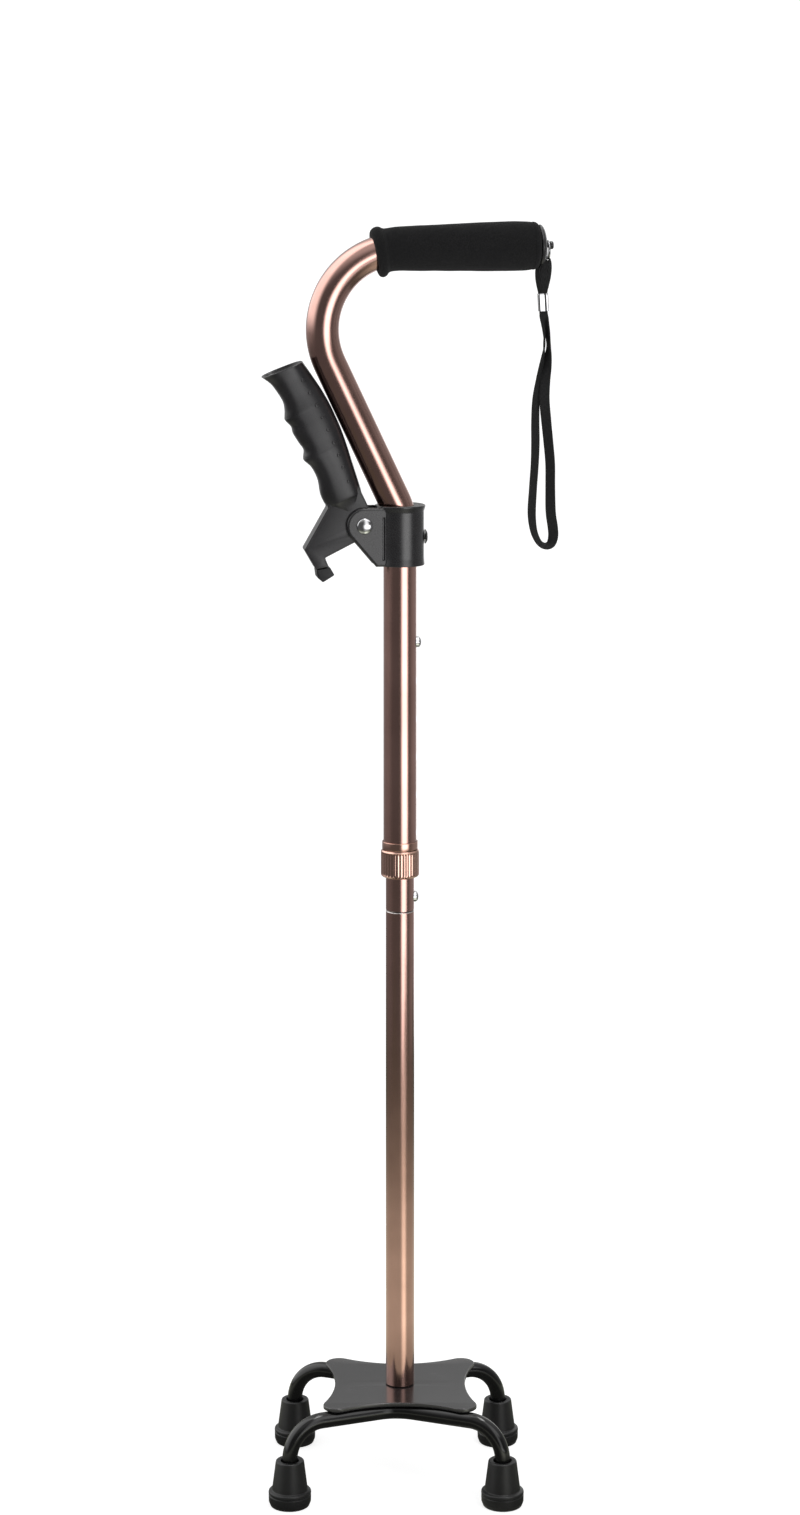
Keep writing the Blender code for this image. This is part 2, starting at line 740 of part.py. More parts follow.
def rib_outline():
    """A round outline with a groove beside every rib."""
    pitch = 2 * math.pi / NUT_RIBS
    rib_end, groove_start, groove_end = NUT_RIB_SHARES
    outside, inside = NUT_RADIUS + GAP, NUT_RADIUS - NUT_GROOVE
    outline = []
    for i in range(NUT_RIBS):
        corners = ((0, outside), (rib_end, outside), (groove_start, inside), (groove_end, inside))
        for share, reach in corners:
            angle = pitch * (i + share)
            outline.append((reach * math.cos(angle), reach * math.sin(angle)))
    return outline


def tube_clearance():
    """A cutter that follows the handle tube with clearance all round."""
    points = handle_path(GRIP_END_X + OVERSHOOT, HANDLE_LOW)
    mesh = swept_mesh("tube_clearance", points, UPPER_RADIUS + GAP)
    return add_cutter("tube_clearance", mesh, STEM)


def add_foam_grip(clearance):
    """A sleeve that follows the tube's top run: a bead, a body that swells, and a rounded end."""
    on_tube = [p for p in handle_path(TUBE_END_X) if p.x > GRIP_START_X and p.z > LOW_BEND_Z]
    arc_end = on_tube[-2]
    bend_centre = arc_end - Vector((-math.sin(GRIP_RISE), 0, math.cos(GRIP_RISE))) * TOP_BEND_RADIUS
    points, scales = [], []
    bead = (
        (0, GRIP_BEAD_RADIUS - GRIP_BEAD_WIDTH / 4),
        (GRIP_BEAD_WIDTH / 4, GRIP_BEAD_RADIUS),
        (GRIP_BEAD_WIDTH * 3 / 4, GRIP_BEAD_RADIUS),
        (GRIP_BEAD_WIDTH, GRIP_RADII[0]),
    )
    length = GRIP_END_X - GRIP_START_X
    body_radii = (GRIP_RADII[1], *GRIP_RADII[1:])
    body = tuple((length * share, radius) for share, radius in zip(GRIP_RADII_AT, body_radii))
    for along, radius in bead + body:
        x = GRIP_START_X + along
        if x < arc_end.x:
            lean = math.asin((x - bend_centre.x) / TOP_BEND_RADIUS)
            points.append(bend_centre + Vector((math.sin(lean), 0, math.cos(lean))) * TOP_BEND_RADIUS)
        else:
            points.append(point_on_grip(x))
        scales.append(radius / GRIP_BEAD_RADIUS)
    grip_mesh = swept_mesh("foam_grip", points, GRIP_BEAD_RADIUS, scales=scales)
    combine(add_part("foam_grip", grip_mesh, STEM, BLACK_FOAM), clearance)


def add_end_cap():
    """The cap in the tube's open end, and the post with a knob that the wrist strap hangs on."""
    end = new_frame("grip_end", point_on_grip(GRIP_END_X), STEM, (0, math.pi / 2 - GRIP_RISE, 0))
    plug_end = TUBE_END_X - GRIP_END_X - CAP_PLUG_LENGTH
    cap = [
        (POST_HOLE, CAP_BULGE + GAP),
        *((CAP_RADIUS * out, CAP_BULGE * up + GAP) for out, up in CAP_DOME),
        (CAP_RADIUS, GAP),
        (CAP_PLUG_RADIUS, GAP),
        (CAP_PLUG_RADIUS, plug_end),
        (POST_HOLE, plug_end),
    ]
    add_part("grip_end_cap", turned_mesh("grip_end_cap", cap, True), end, BLACK_NYLON)
    knob_low = CAP_BULGE + POST_NECK
    knob_top = knob_low + POST_KNOB_LENGTH
    post = [
        (0, knob_top),
        (POST_KNOB_RADIUS * 0.75, knob_top),
        (POST_KNOB_RADIUS, knob_top - POST_KNOB_LENGTH / 4),
        (POST_KNOB_RADIUS, knob_low),
        (POST_RADIUS, knob_low),
        (POST_RADIUS, -POST_SHANK),
        (0, -POST_SHANK),
    ]
    add_part("strap_post", turned_mesh("strap_post", post, steps=ROD_SIDES), end, BLACK_PAINT)


# Wrist strap


def ring_place():
    """The ring's centre: it hangs on the post's neck, half-way along it."""
    on_post = point_on_grip(GRIP_END_X + CAP_BULGE + POST_NECK / 2)
    return on_post - Vector((0, 0, RING_RADIUS - RING_WIRE - POST_RADIUS - GAP))


def add_strap_ring():
    centre = ring_place()
    points = [(0, y, z) for y, z in circle((0, 0), RING_RADIUS, 2 * ROD_SIDES)]
    mesh = swept_mesh("strap_ring", points, RING_WIRE, WIRE_SIDES, closed=True)
    add_part("strap_ring", mesh, STEM, STEEL, centre)


def add_wrist_strap():
    """Webbing in one flat loop: an eye on the ring, a fold, a neck in the crimp and the loop."""
    eye = ring_place() - Vector((0, 0, RING_RADIUS))
    neck_left = STRAP_NECK_X - STRAP_NECK_HALF
    neck_right = STRAP_NECK_X + STRAP_NECK_HALF
    crimp_top = CRIMP_LOW + CRIMP_HEIGHT
    over_eye = arc((eye.x, eye.z), STRAP_EYE, *STRAP_EYE_SPAN, COARSE_ARC)
    left_side = [
        (0.0982, 0.8075),
        (0.0950, 0.8045),
        (0.0938, 0.8000),
        (neck_left, crimp_top + GAP),
        (neck_left, CRIMP_LOW - GAP),
        (0.0945, 0.7550),
        (0.0892, 0.7120),
        (0.0872, 0.6650),
        (0.0862, 0.6450),
        (0.0872, 0.6320),
        (0.0910, 0.6225),
        (0.0965, 0.6182),
    ]
    right_side = [
        (0.1020, 0.6186),
        (0.1062, 0.6232),
        (0.1074, 0.6320),
        (0.1056, 0.6450),
        (0.1058, 0.6650),
        (0.1032, 0.7120),
        (0.1014, 0.7550),
        (neck_right, CRIMP_LOW - GAP),
        (neck_right, crimp_top + GAP),
        (0.1048, 0.7990),
        (0.1050, 0.8050),
    ]
    opening = [
        (0.0964, 0.6990),
        (0.0940, 0.6650),
        (0.0930, 0.6450),
        (0.0940, 0.6335),
        (0.0972, 0.6270),
        (0.1004, 0.6290),
        (0.1002, 0.6350),
        (0.0984, 0.6450),
        (0.0990, 0.6650),
    ]
    outlines = [over_eye + left_side + right_side, circle((eye.x, eye.z), STRAP_EYE_HOLE, ROD_SIDES), opening]
    places = [[(x - eye.x, z - eye.z) for x, z in outline] for outline in outlines]
    mesh = flat_mesh("wrist_strap", places, STRAP_HALF_THICKNESS, upright=True)
    add_part("wrist_strap", mesh, STEM, BLACK_WEBBING, eye)


def add_crimp():
    half_x, half_y = CRIMP_HALF
    outer = [(-half_x, -half_y), (half_x, -half_y), (half_x, half_y), (-half_x, half_y)]
    inner = [(x - math.copysign(CRIMP_WALL, x), y - math.copysign(CRIMP_WALL, y)) for x, y in outer]
    mesh = flat_mesh("strap_crimp", [outer, inner], CRIMP_HEIGHT / 2)
    add_part("strap_crimp", mesh, STEM, STEEL, (STRAP_NECK_X, 0, CRIMP_LOW + CRIMP_HEIGHT / 2))


# Clamp bracket and lever


def cheek_outline():
    """From the ring out round the pivot, and back along the tangent to the bracket's foot."""
    foot = Vector((CHEEK_FOOT_X, BRACKET_LOW)) - Vector(PIVOT)
    towards_foot = math.atan2(foot.y, foot.x)
    tangent = towards_foot - math.acos(CHEEK_ROUND / foot.length)
    round_end = arc(PIVOT, CHEEK_ROUND, math.pi / 2, tangent + 2 * math.pi, COARSE_ARC)
    top = PIVOT[1] + CHEEK_ROUND
    return [(0, top)] + round_end + [(CHEEK_FOOT_X, BRACKET_LOW), (0, BRACKET_LOW)]


def add_bracket(clearance):
    """A ring round the tube with a flared top and two cheeks, one on each side of the lever."""
    flange_low = BRACKET_TOP - FLANGE_HEIGHT
    body = [
        (0, BRACKET_TOP),
        (FLANGE_RADIUS, BRACKET_TOP),
        (FLANGE_RADIUS, BRACKET_TOP - FLANGE_HEIGHT / 2),
        (BRACKET_RADIUS, flange_low),
        (BRACKET_FOOT_RADIUS, BRACKET_LOW),
        (0, BRACKET_LOW),
    ]
    bracket = add_part("clamp_bracket", turned_mesh("clamp_bracket", body), STEM, BLACK_NYLON)
    cheeks = flat_mesh("cheeks", [cheek_outline()], CHEEK_Y[1], upright=True)
    combine(bracket, add_cutter("cheeks", cheeks, STEM), "UNION")
    reach = PIVOT[0] - CHEEK_ROUND - OVERSHOOT
    slot = box_mesh(
        "lever_slot",
        (reach, -CHEEK_Y[0], BRACKET_LOW - OVERSHOOT),
        (SLOT_END_X, CHEEK_Y[0], BRACKET_TOP + OVERSHOOT),
    )
    combine(bracket, add_cutter("lever_slot", slot, STEM))
    combine(bracket, clearance)
    combine(bracket, cross_hole("cheek_hole", STEM, (PIVOT[0], 0, PIVOT[1])))
    screw_hole = rod_mesh("bracket_screw_hole", SCREW_HOLE, 0, FLANGE_RADIUS + OVERSHOOT, ROD_SIDES)
    combine(bracket, add_cutter("bracket_screw_hole", screw_hole, STEM, (0, 0, SCREW_Z), (0, math.pi / 2, 0)))


def cross_hole(name, frame, at):
    """A cutter for the rivet's hole, along Y."""
    reach = CHEEK_Y[1] + OVERSHOOT
    rod = rod_mesh(name, RIVET_HOLE, -reach, reach, HOLE_SIDES)
    return add_cutter(name, rod, frame, at, (math.pi / 2, 0, 0))


def add_bracket_fasteners():
    head_low = BRACKET_FOOT_RADIUS + GAP
    screw = [
        (0, head_low + SCREW_HEAD_HEIGHT),
        (SCREW_HEAD_RADIUS * SCREW_HEAD_EDGE[0], head_low + SCREW_HEAD_HEIGHT),
        (SCREW_HEAD_RADIUS, head_low + SCREW_HEAD_HEIGHT * SCREW_HEAD_EDGE[1]),
        (SCREW_HEAD_RADIUS, head_low),
        (SCREW_RADIUS, head_low),
        (SCREW_RADIUS, SCREW_TIP_X),
        (0, SCREW_TIP_X),
    ]
    mesh = turned_mesh("bracket_screw", screw, steps=HOLE_SIDES)
    add_part("bracket_screw", mesh, STEM, BLACK_PAINT, (0, 0, SCREW_Z), (0, math.pi / 2, 0))
    head = CHEEK_Y[1] + GAP
    washer_top = -CHEEK_Y[1] - GAP
    washer_low = washer_top - RIVET_WASHER_THICKNESS
    tail_top = washer_low - GAP
    rivet = [
        (0, head + RIVET_HEAD_HEIGHT),
        *((RIVET_HEAD_RADIUS * out, head + RIVET_HEAD_HEIGHT * up) for out, up in RIVET_DOME),
        (RIVET_HEAD_RADIUS, head),
        (RIVET_RADIUS, head),
        (RIVET_RADIUS, tail_top),
        (RIVET_TAIL_RADIUS, tail_top),
        (RIVET_TAIL_RADIUS * RIVET_TAIL_TAPER, tail_top - RIVET_TAIL_HEIGHT),
        (0, tail_top - RIVET_TAIL_HEIGHT),
    ]
    across = (math.pi / 2, 0, 0)
    place = (PIVOT[0], 0, PIVOT[1])
    add_part("pivot_rivet", turned_mesh("pivot_rivet", rivet), STEM, STEEL, place, across)
    washer = [
        (RIVET_WASHER_RADIUS, washer_top),
        (RIVET_WASHER_RADIUS, washer_low),
        (RIVET_HOLE, washer_low),
        (RIVET_HOLE, washer_top),
    ]
    add_part("rivet_washer", turned_mesh("rivet_washer", washer, True), STEM, STEEL, place, across)


def on_lever_grip(along, forward):
    """A point of the lever grip's own lean, from the pivot: along the grip and to its front."""
    up = Vector((-math.sin(LEVER_GRIP_LEAN), math.cos(LEVER_GRIP_LEAN)))
    front = Vector((-math.cos(LEVER_GRIP_LEAN), -math.sin(LEVER_GRIP_LEAN)))
    return LEVER_GRIP_FOOT + up * along + front * forward


def lever_outline():
    hub = arc((0, 0), LEVER_HUB, -math.pi / 2, 0, COARSE_ARC)
    first = LEVER_GRIP_SECTIONS[0]
    top_back = on_lever_grip(-GAP, -first[2])
    top_front = on_lever_grip(-GAP, first[1])
    return [tuple(top_front), *LEVER_LOWER_EDGE, *hub, *LEVER_BACK_EDGE, tuple(top_back)]


def add_lever(pivot):
    """The rigid lever: a thick plate on the rivet, with a tang up inside its grip."""
    mesh = flat_mesh("assist_lever", [lever_outline()], LEVER_HALF_WIDTH, upright=True)
    lever = add_part("assist_lever", mesh, pivot, BLACK_NYLON)
    combine(lever, tang("lever_tang", pivot, 0, TANG_LENGTH), "UNION")
    combine(lever, cross_hole("lever_hole", pivot, (0, 0, 0)))


def tang(name, pivot, clearance, length):
    """A bar from inside the lever's plate up the middle of its grip."""
    half_depth, half_width = (half + clearance for half in TANG_HALF)
    mesh = box_mesh(name, (-half_depth, -half_width, -TANG_ROOT), (half_depth, half_width, length))
    foot = (LEVER_GRIP_FOOT.x, 0, LEVER_GRIP_FOOT.y)
    return add_cutter(name, mesh, pivot, foot, (0, -LEVER_GRIP_LEAN, 0))


def add_lever_grip(pivot):
    """The grip's sections, each deeper behind than in front, stacked up its lean."""
    rings = []
    for along, front, back, half_width in LEVER_GRIP_SECTIONS:
        ring = []
        for i in range(GRIP_SECTION_POINTS):
            angle = 2 * math.pi * i / GRIP_SECTION_POINTS
            forward = math.cos(angle) * (front if math.cos(angle) > 0 else back)
            place = on_lever_grip(along, forward)
            ring.append((place.x, half_width * math.sin(angle), place.y))
        rings.append(ring)
    grip = add_part("assist_grip", lofted_mesh("assist_grip", rings), pivot, BLACK_RUBBER)
    combine(grip, tang("tang_clearance", pivot, GAP, TANG_LENGTH + GAP))


def add_jaw_pad(pivot):
    """The rubber block that meets the stem when the lever is out, hollowed to the tube."""
    mesh = flat_mesh("jaw_pad", [PAD_OUTLINE], LEVER_HALF_WIDTH, upright=True)
    pad = add_part("jaw_pad", mesh, pivot, BLACK_RUBBER)
    reach = abs(PIVOT[0])
    saddle = rod_mesh("pad_saddle", UPPER_RADIUS + GAP, -3 * reach, 3 * reach)
    place = (reach * math.cos(LEVER_SWING), 0, -reach * math.sin(LEVER_SWING))
    combine(pad, add_cutter("pad_saddle", saddle, pivot, place, (0, LEVER_SWING, 0)))


# The whole cane

clear_scene()
PARTS = new_collection(OBJECT_NAME)
CUTTERS = new_collection("cutters")
BASE = new_frame("base_frame", (STEM_X, 0, 0))
STEM = new_frame("stem_frame", (STEM_X, 0, 0), turn=(0, 0, STEM_TURN))


def build_cane():
    add_base_plate()
    add_legs()
    add_tips()
    add_base_fixing()
    add_tubes()
    add_snap_buttons()
    add_handle_tube()
    add_collar()
    clearance = tube_clearance()
    add_foam_grip(clearance)
    add_end_cap()
    add_strap_ring()
    add_wrist_strap()
    add_crimp()
    add_bracket(clearance)
    add_bracket_fasteners()
    pivot = new_frame("lever_pivot", (PIVOT[0], 0, PIVOT[1]), STEM)
    add_lever(pivot)
    add_lever_grip(pivot)
    add_jaw_pad(pivot)


build_cane()
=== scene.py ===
"""Looks of the quad walking cane: fine surfaces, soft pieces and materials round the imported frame.

Metres, +Z up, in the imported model's own frame. The tubes and the handle are laid out in the stem's
frame, which stands on the stem's axis and is turned a little on the base.
"""

import json
import math

import bmesh
import bpy
from mathutils import Matrix, Vector, noise

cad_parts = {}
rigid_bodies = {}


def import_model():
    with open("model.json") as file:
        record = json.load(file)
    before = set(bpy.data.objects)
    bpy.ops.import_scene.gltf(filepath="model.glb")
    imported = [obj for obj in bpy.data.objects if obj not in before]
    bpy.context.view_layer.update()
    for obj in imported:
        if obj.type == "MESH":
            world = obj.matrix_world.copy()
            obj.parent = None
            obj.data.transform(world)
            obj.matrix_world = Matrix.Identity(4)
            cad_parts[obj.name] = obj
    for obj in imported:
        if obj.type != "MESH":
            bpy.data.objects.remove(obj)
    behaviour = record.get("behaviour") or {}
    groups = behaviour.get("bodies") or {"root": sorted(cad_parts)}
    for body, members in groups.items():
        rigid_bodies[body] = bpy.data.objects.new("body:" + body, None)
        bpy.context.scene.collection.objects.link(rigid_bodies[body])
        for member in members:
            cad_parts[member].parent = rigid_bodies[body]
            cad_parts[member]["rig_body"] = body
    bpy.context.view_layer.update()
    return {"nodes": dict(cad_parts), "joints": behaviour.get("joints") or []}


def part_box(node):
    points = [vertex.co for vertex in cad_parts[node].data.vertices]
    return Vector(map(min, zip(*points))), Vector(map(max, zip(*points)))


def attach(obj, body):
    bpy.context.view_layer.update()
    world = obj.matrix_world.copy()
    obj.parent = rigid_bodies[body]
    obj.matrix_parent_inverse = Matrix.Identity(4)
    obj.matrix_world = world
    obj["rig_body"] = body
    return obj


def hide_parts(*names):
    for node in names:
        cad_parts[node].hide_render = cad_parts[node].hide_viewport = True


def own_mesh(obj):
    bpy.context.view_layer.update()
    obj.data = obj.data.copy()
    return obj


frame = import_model()

JOINTS = {joint["name"]: joint for joint in frame["joints"]}


# Sizes: places come from the frame, and the rest are the driving sizes of the part


def middle_of(node):
    low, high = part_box(node)
    return (low + high) / 2


def low_of(node):
    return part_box(node)[0].z


def top_of(node):
    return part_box(node)[1].z


LEVER_AXIS = Vector(JOINTS["lever_fold"]["axis"])
STEM_TURN = math.atan2(LEVER_AXIS.x, -LEVER_AXIS.y)
BASE = Matrix.Translation((middle_of("base_tube").x, 0, 0))
STEM = BASE @ Matrix.Rotation(STEM_TURN, 4, "Z")
PIVOT = STEM.inverted() @ Vector(JOINTS["lever_fold"]["pos_m"])
RING_CENTRE = STEM.inverted() @ middle_of("strap_ring")
PIVOT_PLACE = STEM @ Matrix.Translation(PIVOT)
UPRIGHT = Matrix.Rotation(math.pi / 2, 4, "X")
ALONG_X = Matrix.Rotation(math.pi / 2, 4, "Y")
WORLD = Matrix.Identity(4)
TIP_PLACES = ("front_left", "front_right", "rear_left", "rear_right")

GAP = 0.0003
OVERSHOOT = 0.004
MERGE = 0.000001
BEND_SHARE = 0.49
FINE_ARC = math.radians(3)
TUBE_SIDES = 96
ROD_SIDES = 40
TIP_SIDES = 72
CORNER_STEPS = 5

PLATE_TOP = top_of("base_plate")
PLATE_THICKNESS = PLATE_TOP - low_of("base_plate")
PLATE_HALF = (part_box("base_plate")[1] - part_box("base_plate")[0]) / 2
PLATE_WAIST = (0.0435, 0.0360)
PLATE_CORNER = 0.009
PLATE_CORNER_OVERLAP = (math.radians(20), math.radians(29))
PLATE_EDGE = 0.0006
BOLT_HOLE = 0.0035
LEG_RADIUS = 0.0050
LEG_BEND = 0.023
LEG_MIDDLE_Y = 0.0265
LEG_MIDDLE_BEND = 0.030
LEG_LEVEL = PLATE_TOP - PLATE_THICKNESS - GAP - LEG_RADIUS
WELD_SIZE = Vector((0.0011, 0.0016, 0.0026))
WELD_REACH = 0.046
SEAM_RADIUS = 0.0014
SEAM_LUMP = 0.0003
SEAM_END = 0.0004

TIP_HEIGHT = top_of("tip_front_left")
TIP_RADIUS = 0.0140
TIP_LIP = (0.0098, 0.0082)
TIP_CONE = (0.0117, 0.0092)
TIP_MOUTH = 0.0062
TIP_SOCKET_FLOOR = 0.004
TIP_SOLE_RINGS = (0.0035, 0.0065, 0.0095)
TIP_SOLE_GROOVE = 0.0007

LOWER_RADIUS = 0.009525
UPPER_RADIUS = 0.0111
TUBE_WALL = 0.0012
TUBE_CHAMFER = 0.00045
JOINT_LINE = top_of("base_tube")
MIDDLE_TOP = top_of("middle_tube")
BUTTON_RADIUS = 0.0036
BUTTON_FLANGE = 0.0042
BUTTON_HOLE = 0.0040
BUTTON_DOME = 0.0022
SCREW_HOLE = 0.0023
BUTTON_BACK = {"upper": 0.0052, "lower": 0.0038}
SLEEVE_BORE = 0.0069
SPRING_ROOM = {"upper": LOWER_RADIUS - TUBE_WALL, "lower": SLEEVE_BORE}
SPRING_WIDTH = 0.0050
SPRING_THICKNESS = 0.0005
SPRING_LENGTH = 0.030
HOLE_PITCH = 0.0254
HOLE_COUNT = 6

HANDLE_LOW = low_of("handle_tube")
LOW_BEND_Z = 0.643
LOW_BEND_RADIUS = 0.040
HANDLE_LEAN = math.radians(25.3)
TOP_BEND_RADIUS = 0.0539
GRIP_AXIS_Z = 0.8197
GRIP_RISE = math.radians(1)
TUBE_END_X = 0.0915
GRIP_END_X = 0.0945
FOAM_START_X = -0.0172
FOAM_BEAD_LEAN = math.radians(12)
FOAM_BEAD_REACH = 0.024
FOAM_DENT = 0.00022
CAP_RADIUS = 0.0142
CAP_BULGE = 0.0049

COLLAR_TOP = top_of("collar_sleeve")
COLLAR_LOW = low_of("collar_sleeve")
NUT_TOP = top_of("collar_nut")
NUT_LOW = low_of("collar_nut")
NUT_RADIUS = 0.0128
NUT_RIBS = 36
NUT_RIB_DEPTH = 0.00032
NUT_RIB_ENDS = (0.0012, 0.0009)
NUT_RIB_FADE = 0.0007
COLLET_LOW = low_of("collar_collet")
COLLET_TOP = top_of("collar_collet")
COLLET_RADIUS = 0.0103
COLLAR_BORE = 0.0099

BRACKET_LOW = low_of("clamp_bracket")
BRACKET_TOP = top_of("clamp_bracket")
BRACKET_RADIUS = 0.0161
FLANGE_RADIUS = 0.0172
CHEEK_ROUND = 0.0118
CHEEK_FOOT_X = -0.0175
CHEEK_Y = (0.0085, 0.0120)
SLOT_END_X = -0.0162
BRACKET_VOXEL = 0.0003
MOUTH_X = -0.0010
RIVET_HOLE = 0.0033
RIVET_RADIUS = 0.0030
RIVET_HEAD = 0.0053
WASHER_THICKNESS = 0.0010
SCREW_Z = 0.6266
LEVER_HALF_WIDTH = 0.0080
LEVER_RIM = 0.0010
LEVER_STEP = 0.0006
LEVER_SWING = math.radians(JOINTS["lever_fold"]["range_deg"][1])
LEVER_GRIP_FOOT = Vector((-0.0140, 0.0180))
LEVER_GRIP_LEAN = math.radians(24.94)
POMMEL_RIM = (
    (0.0004, 0.975),
    (0.0004, 0.945),
    (-0.0006, 0.905),
    (-0.0022, 0.84),
    (-0.0030, 0.70),
    (-0.0031, 0.1),
)

CRIMP_LOW = low_of("strap_crimp")
CRIMP_TOP = top_of("strap_crimp")
RING_RADIUS = 0.0058
RING_WIRE = 0.0008
CRIMP_X = 0.0974
STRAP_WIDTH = 0.0070
STRAP_THICKNESS = 0.0013
YARN_PITCH = 0.0009
PLEAT_DEPTH = 0.14
STRAP_EYE = 0.00125
CRIMP_HALF = (0.0034, 0.0027)
CRIMP_WALL = 0.0006
CRIMP_CORNER = 0.0009
CRIMP_FLARE = 0.00012
CRIMP_END = 0.0005
CRIMP_LEAN = math.radians(-3)
CREASE_X = 0.0011
CREASE_DEPTH = 0.00035


# Meshes


def plain_mesh(name, bm):
    mesh = bpy.data.meshes.new(name)
    bm.to_mesh(mesh)
    bm.free()
    return mesh


def linked(name, data):
    """A new object in the scene."""
    item = bpy.data.objects.new(name, data)
    bpy.context.scene.collection.objects.link(item)
    return item


def mesh_of(name, bm):
    """The bmesh as a mesh whose doubled points are merged and whose faces point out."""
    bmesh.ops.remove_doubles(bm, verts=bm.verts, dist=MERGE)
    bmesh.ops.dissolve_degenerate(bm, edges=bm.edges, dist=MERGE)
    bmesh.ops.recalc_face_normals(bm, faces=bm.faces)
    return plain_mesh(name, bm)


def loft(name, rings, caps=False, joined=False):
    """A skin over rings of points, with a UV map in metres: U round a ring and V along them."""
    bm = bmesh.new()
    uv = bm.loops.layers.uv.new("metres")
    rows = [[bm.verts.new(point) for point in ring] for ring in rings]
    widest = max(rings, key=lambda ring: sum(gaps_round(ring)))
    across = running_total(gaps_round(widest))
    order = rows + rows[:1] if joined else rows
    along = running_total([(b[0].co - a[0].co).length for a, b in zip(order, order[1:])])
    count = len(rows[0])
    for j, (low, high) in enumerate(zip(order, order[1:])):
        for i in range(count):
            k = (i + 1) % count
            face = bm.faces.new((low[i], low[k], high[k], high[i]))
            places = ((i, j), (i + 1, j), (i + 1, j + 1), (i, j + 1))
            for loop, (u, v) in zip(face.loops, places):
                loop[uv].uv = (across[u], along[v])
    if caps:
        bm.faces.new(rows[0])
        bm.faces.new(rows[-1])
    return mesh_of(name, bm)


def gaps_round(ring):
    return [(Vector(b) - Vector(a)).length for a, b in zip(ring, ring[1:] + ring[:1])]


def running_total(steps):
    totals = [0]
    for step in steps:
        totals.append(totals[-1] + step)
    return totals


def turned(name, profile, sides=TUBE_SIDES, joined=True, shape=None):
    """A profile of (radius, height) swung round Z. Shape may change a radius by angle and height."""
    rings = []
    for radius, height in profile:
        ring = []
        for angle in angles_round(sides):
            reach = shape(radius, angle, height) if shape else radius
            ring.append((reach * math.cos(angle), reach * math.sin(angle), height))
        rings.append(ring)
    return loft(name, rings, joined=joined)


def rings_along(path, radii, sides, closed=False):
    """Round rings carried along a path without twisting."""
    points = [Vector(point) for point in path]
    count = len(points)
    side = None
    rings = []
    for i, point in enumerate(points):
        before = points[i - 1] if i or closed else point
        after = points[(i + 1) % count] if i + 1 < count or closed else point
        tangent = (after - before).normalized()
        if side is None:
            side = tangent.orthogonal()
        side = (side - tangent * side.dot(tangent)).normalized()
        other = tangent.cross(side)
        rings.append([
            point + (side * math.cos(angle) + other * math.sin(angle)) * radii[i]
            for angle in angles_round(sides)
        ])
    return rings


def hollow_tube(name, path, outer, inner, sides=TUBE_SIDES):
    """A tube with a bore along a path. Outer and inner hold a radius for each point."""
    outside = rings_along(path, outer, sides)
    inside = rings_along(path, inner, sides)
    return loft(name, outside + inside[::-1], joined=True)


def flat(name, outlines, half_thickness, edge):
    """Outlines in X and Z thickened along Y, the inner ones as holes, with rounded edges."""
    curve = bpy.data.curves.new(name, "CURVE")
    curve.dimensions = "2D"
    curve.fill_mode = "BOTH"
    curve.extrude = half_thickness - edge
    curve.bevel_depth = edge
    curve.bevel_resolution = CORNER_STEPS - 2
    curve.offset = -edge
    for outline in outlines:
        spline = curve.splines.new("POLY")
        spline.points.add(len(outline) - 1)
        for point, place in zip(spline.points, outline):
            point.co = (place[0], place[1], 0, 1)
        spline.use_cyclic_u = True
    return placed(baked(linked(name, curve)), UPRIGHT)


def baked(guide):
    """The welded mesh of an object as it is evaluated. The object itself is removed."""
    graph = bpy.context.evaluated_depsgraph_get()
    mesh = bpy.data.meshes.new_from_object(guide.evaluated_get(graph))
    mesh.name = guide.name
    bpy.data.objects.remove(guide, do_unlink=True)
    bm = bmesh.new()
    bm.from_mesh(mesh)
    bmesh.ops.remove_doubles(bm, verts=bm.verts, dist=MERGE)
    bm.to_mesh(mesh)
    bm.free()
    return mesh


def combined(mesh, others, operation="DIFFERENCE"):
    """The mesh after a Boolean with each of the other meshes in turn."""
    guide = linked(mesh.name, mesh)
    helpers = [linked("cutter", other) for other in others]
    for helper in helpers:
        boolean = guide.modifiers.new("Boolean", "BOOLEAN")
        boolean.operation = operation
        boolean.solver = "EXACT"
        boolean.object = helper
    bpy.context.view_layer.update()
    result = baked(guide)
    for helper in helpers:
        bpy.data.objects.remove(helper, do_unlink=True)
    return result


def softened(mesh, voxel, rounds):
    """The mesh rebuilt from small cells and smoothed, so that every edge is a moulded one."""
    guide = linked(mesh.name, mesh)
    remesh = guide.modifiers.new("Cells", "REMESH")
    remesh.mode = "VOXEL"
    remesh.voxel_size = voxel
    smooth = guide.modifiers.new("Soft", "SMOOTH")
    smooth.factor = 0.5
    smooth.iterations = rounds
    bpy.context.view_layer.update()
    return baked(guide)


def merged(name, meshes):
    """Several meshes as one."""
    bm = bmesh.new()
    for mesh in meshes:
        bm.from_mesh(mesh)
    return plain_mesh(name, bm)


def rod(radius, low, high, sides=ROD_SIDES):
    return turned("rod", [(0, low), (radius, low), (radius, high), (0, high)], sides, joined=False)


def block(low, high):
    low, high = Vector(low), Vector(high)
    bm = bmesh.new()
    size = Matrix.Diagonal((*(high - low), 1))
    bmesh.ops.create_cube(bm, size=1, matrix=Matrix.Translation((low + high) / 2) @ size)
    return mesh_of("block", bm)


def placed(mesh, *matrices):
    for matrix in matrices:
        mesh.transform(matrix)
    return mesh


# Points


def spread(start, end, count):
    """Evenly spaced numbers from start to end, count steps apart."""
    return [start + (end - start) * i / count for i in range(count + 1)]


def angles_round(count):
    """Evenly spaced angles round a full turn."""
    return spread(0, 2 * math.pi, count)[:-1]


def squared(value, power):
    """A power of the value that keeps its sign, which makes a round section squarer."""
    return math.copysign(abs(value) ** power, value)


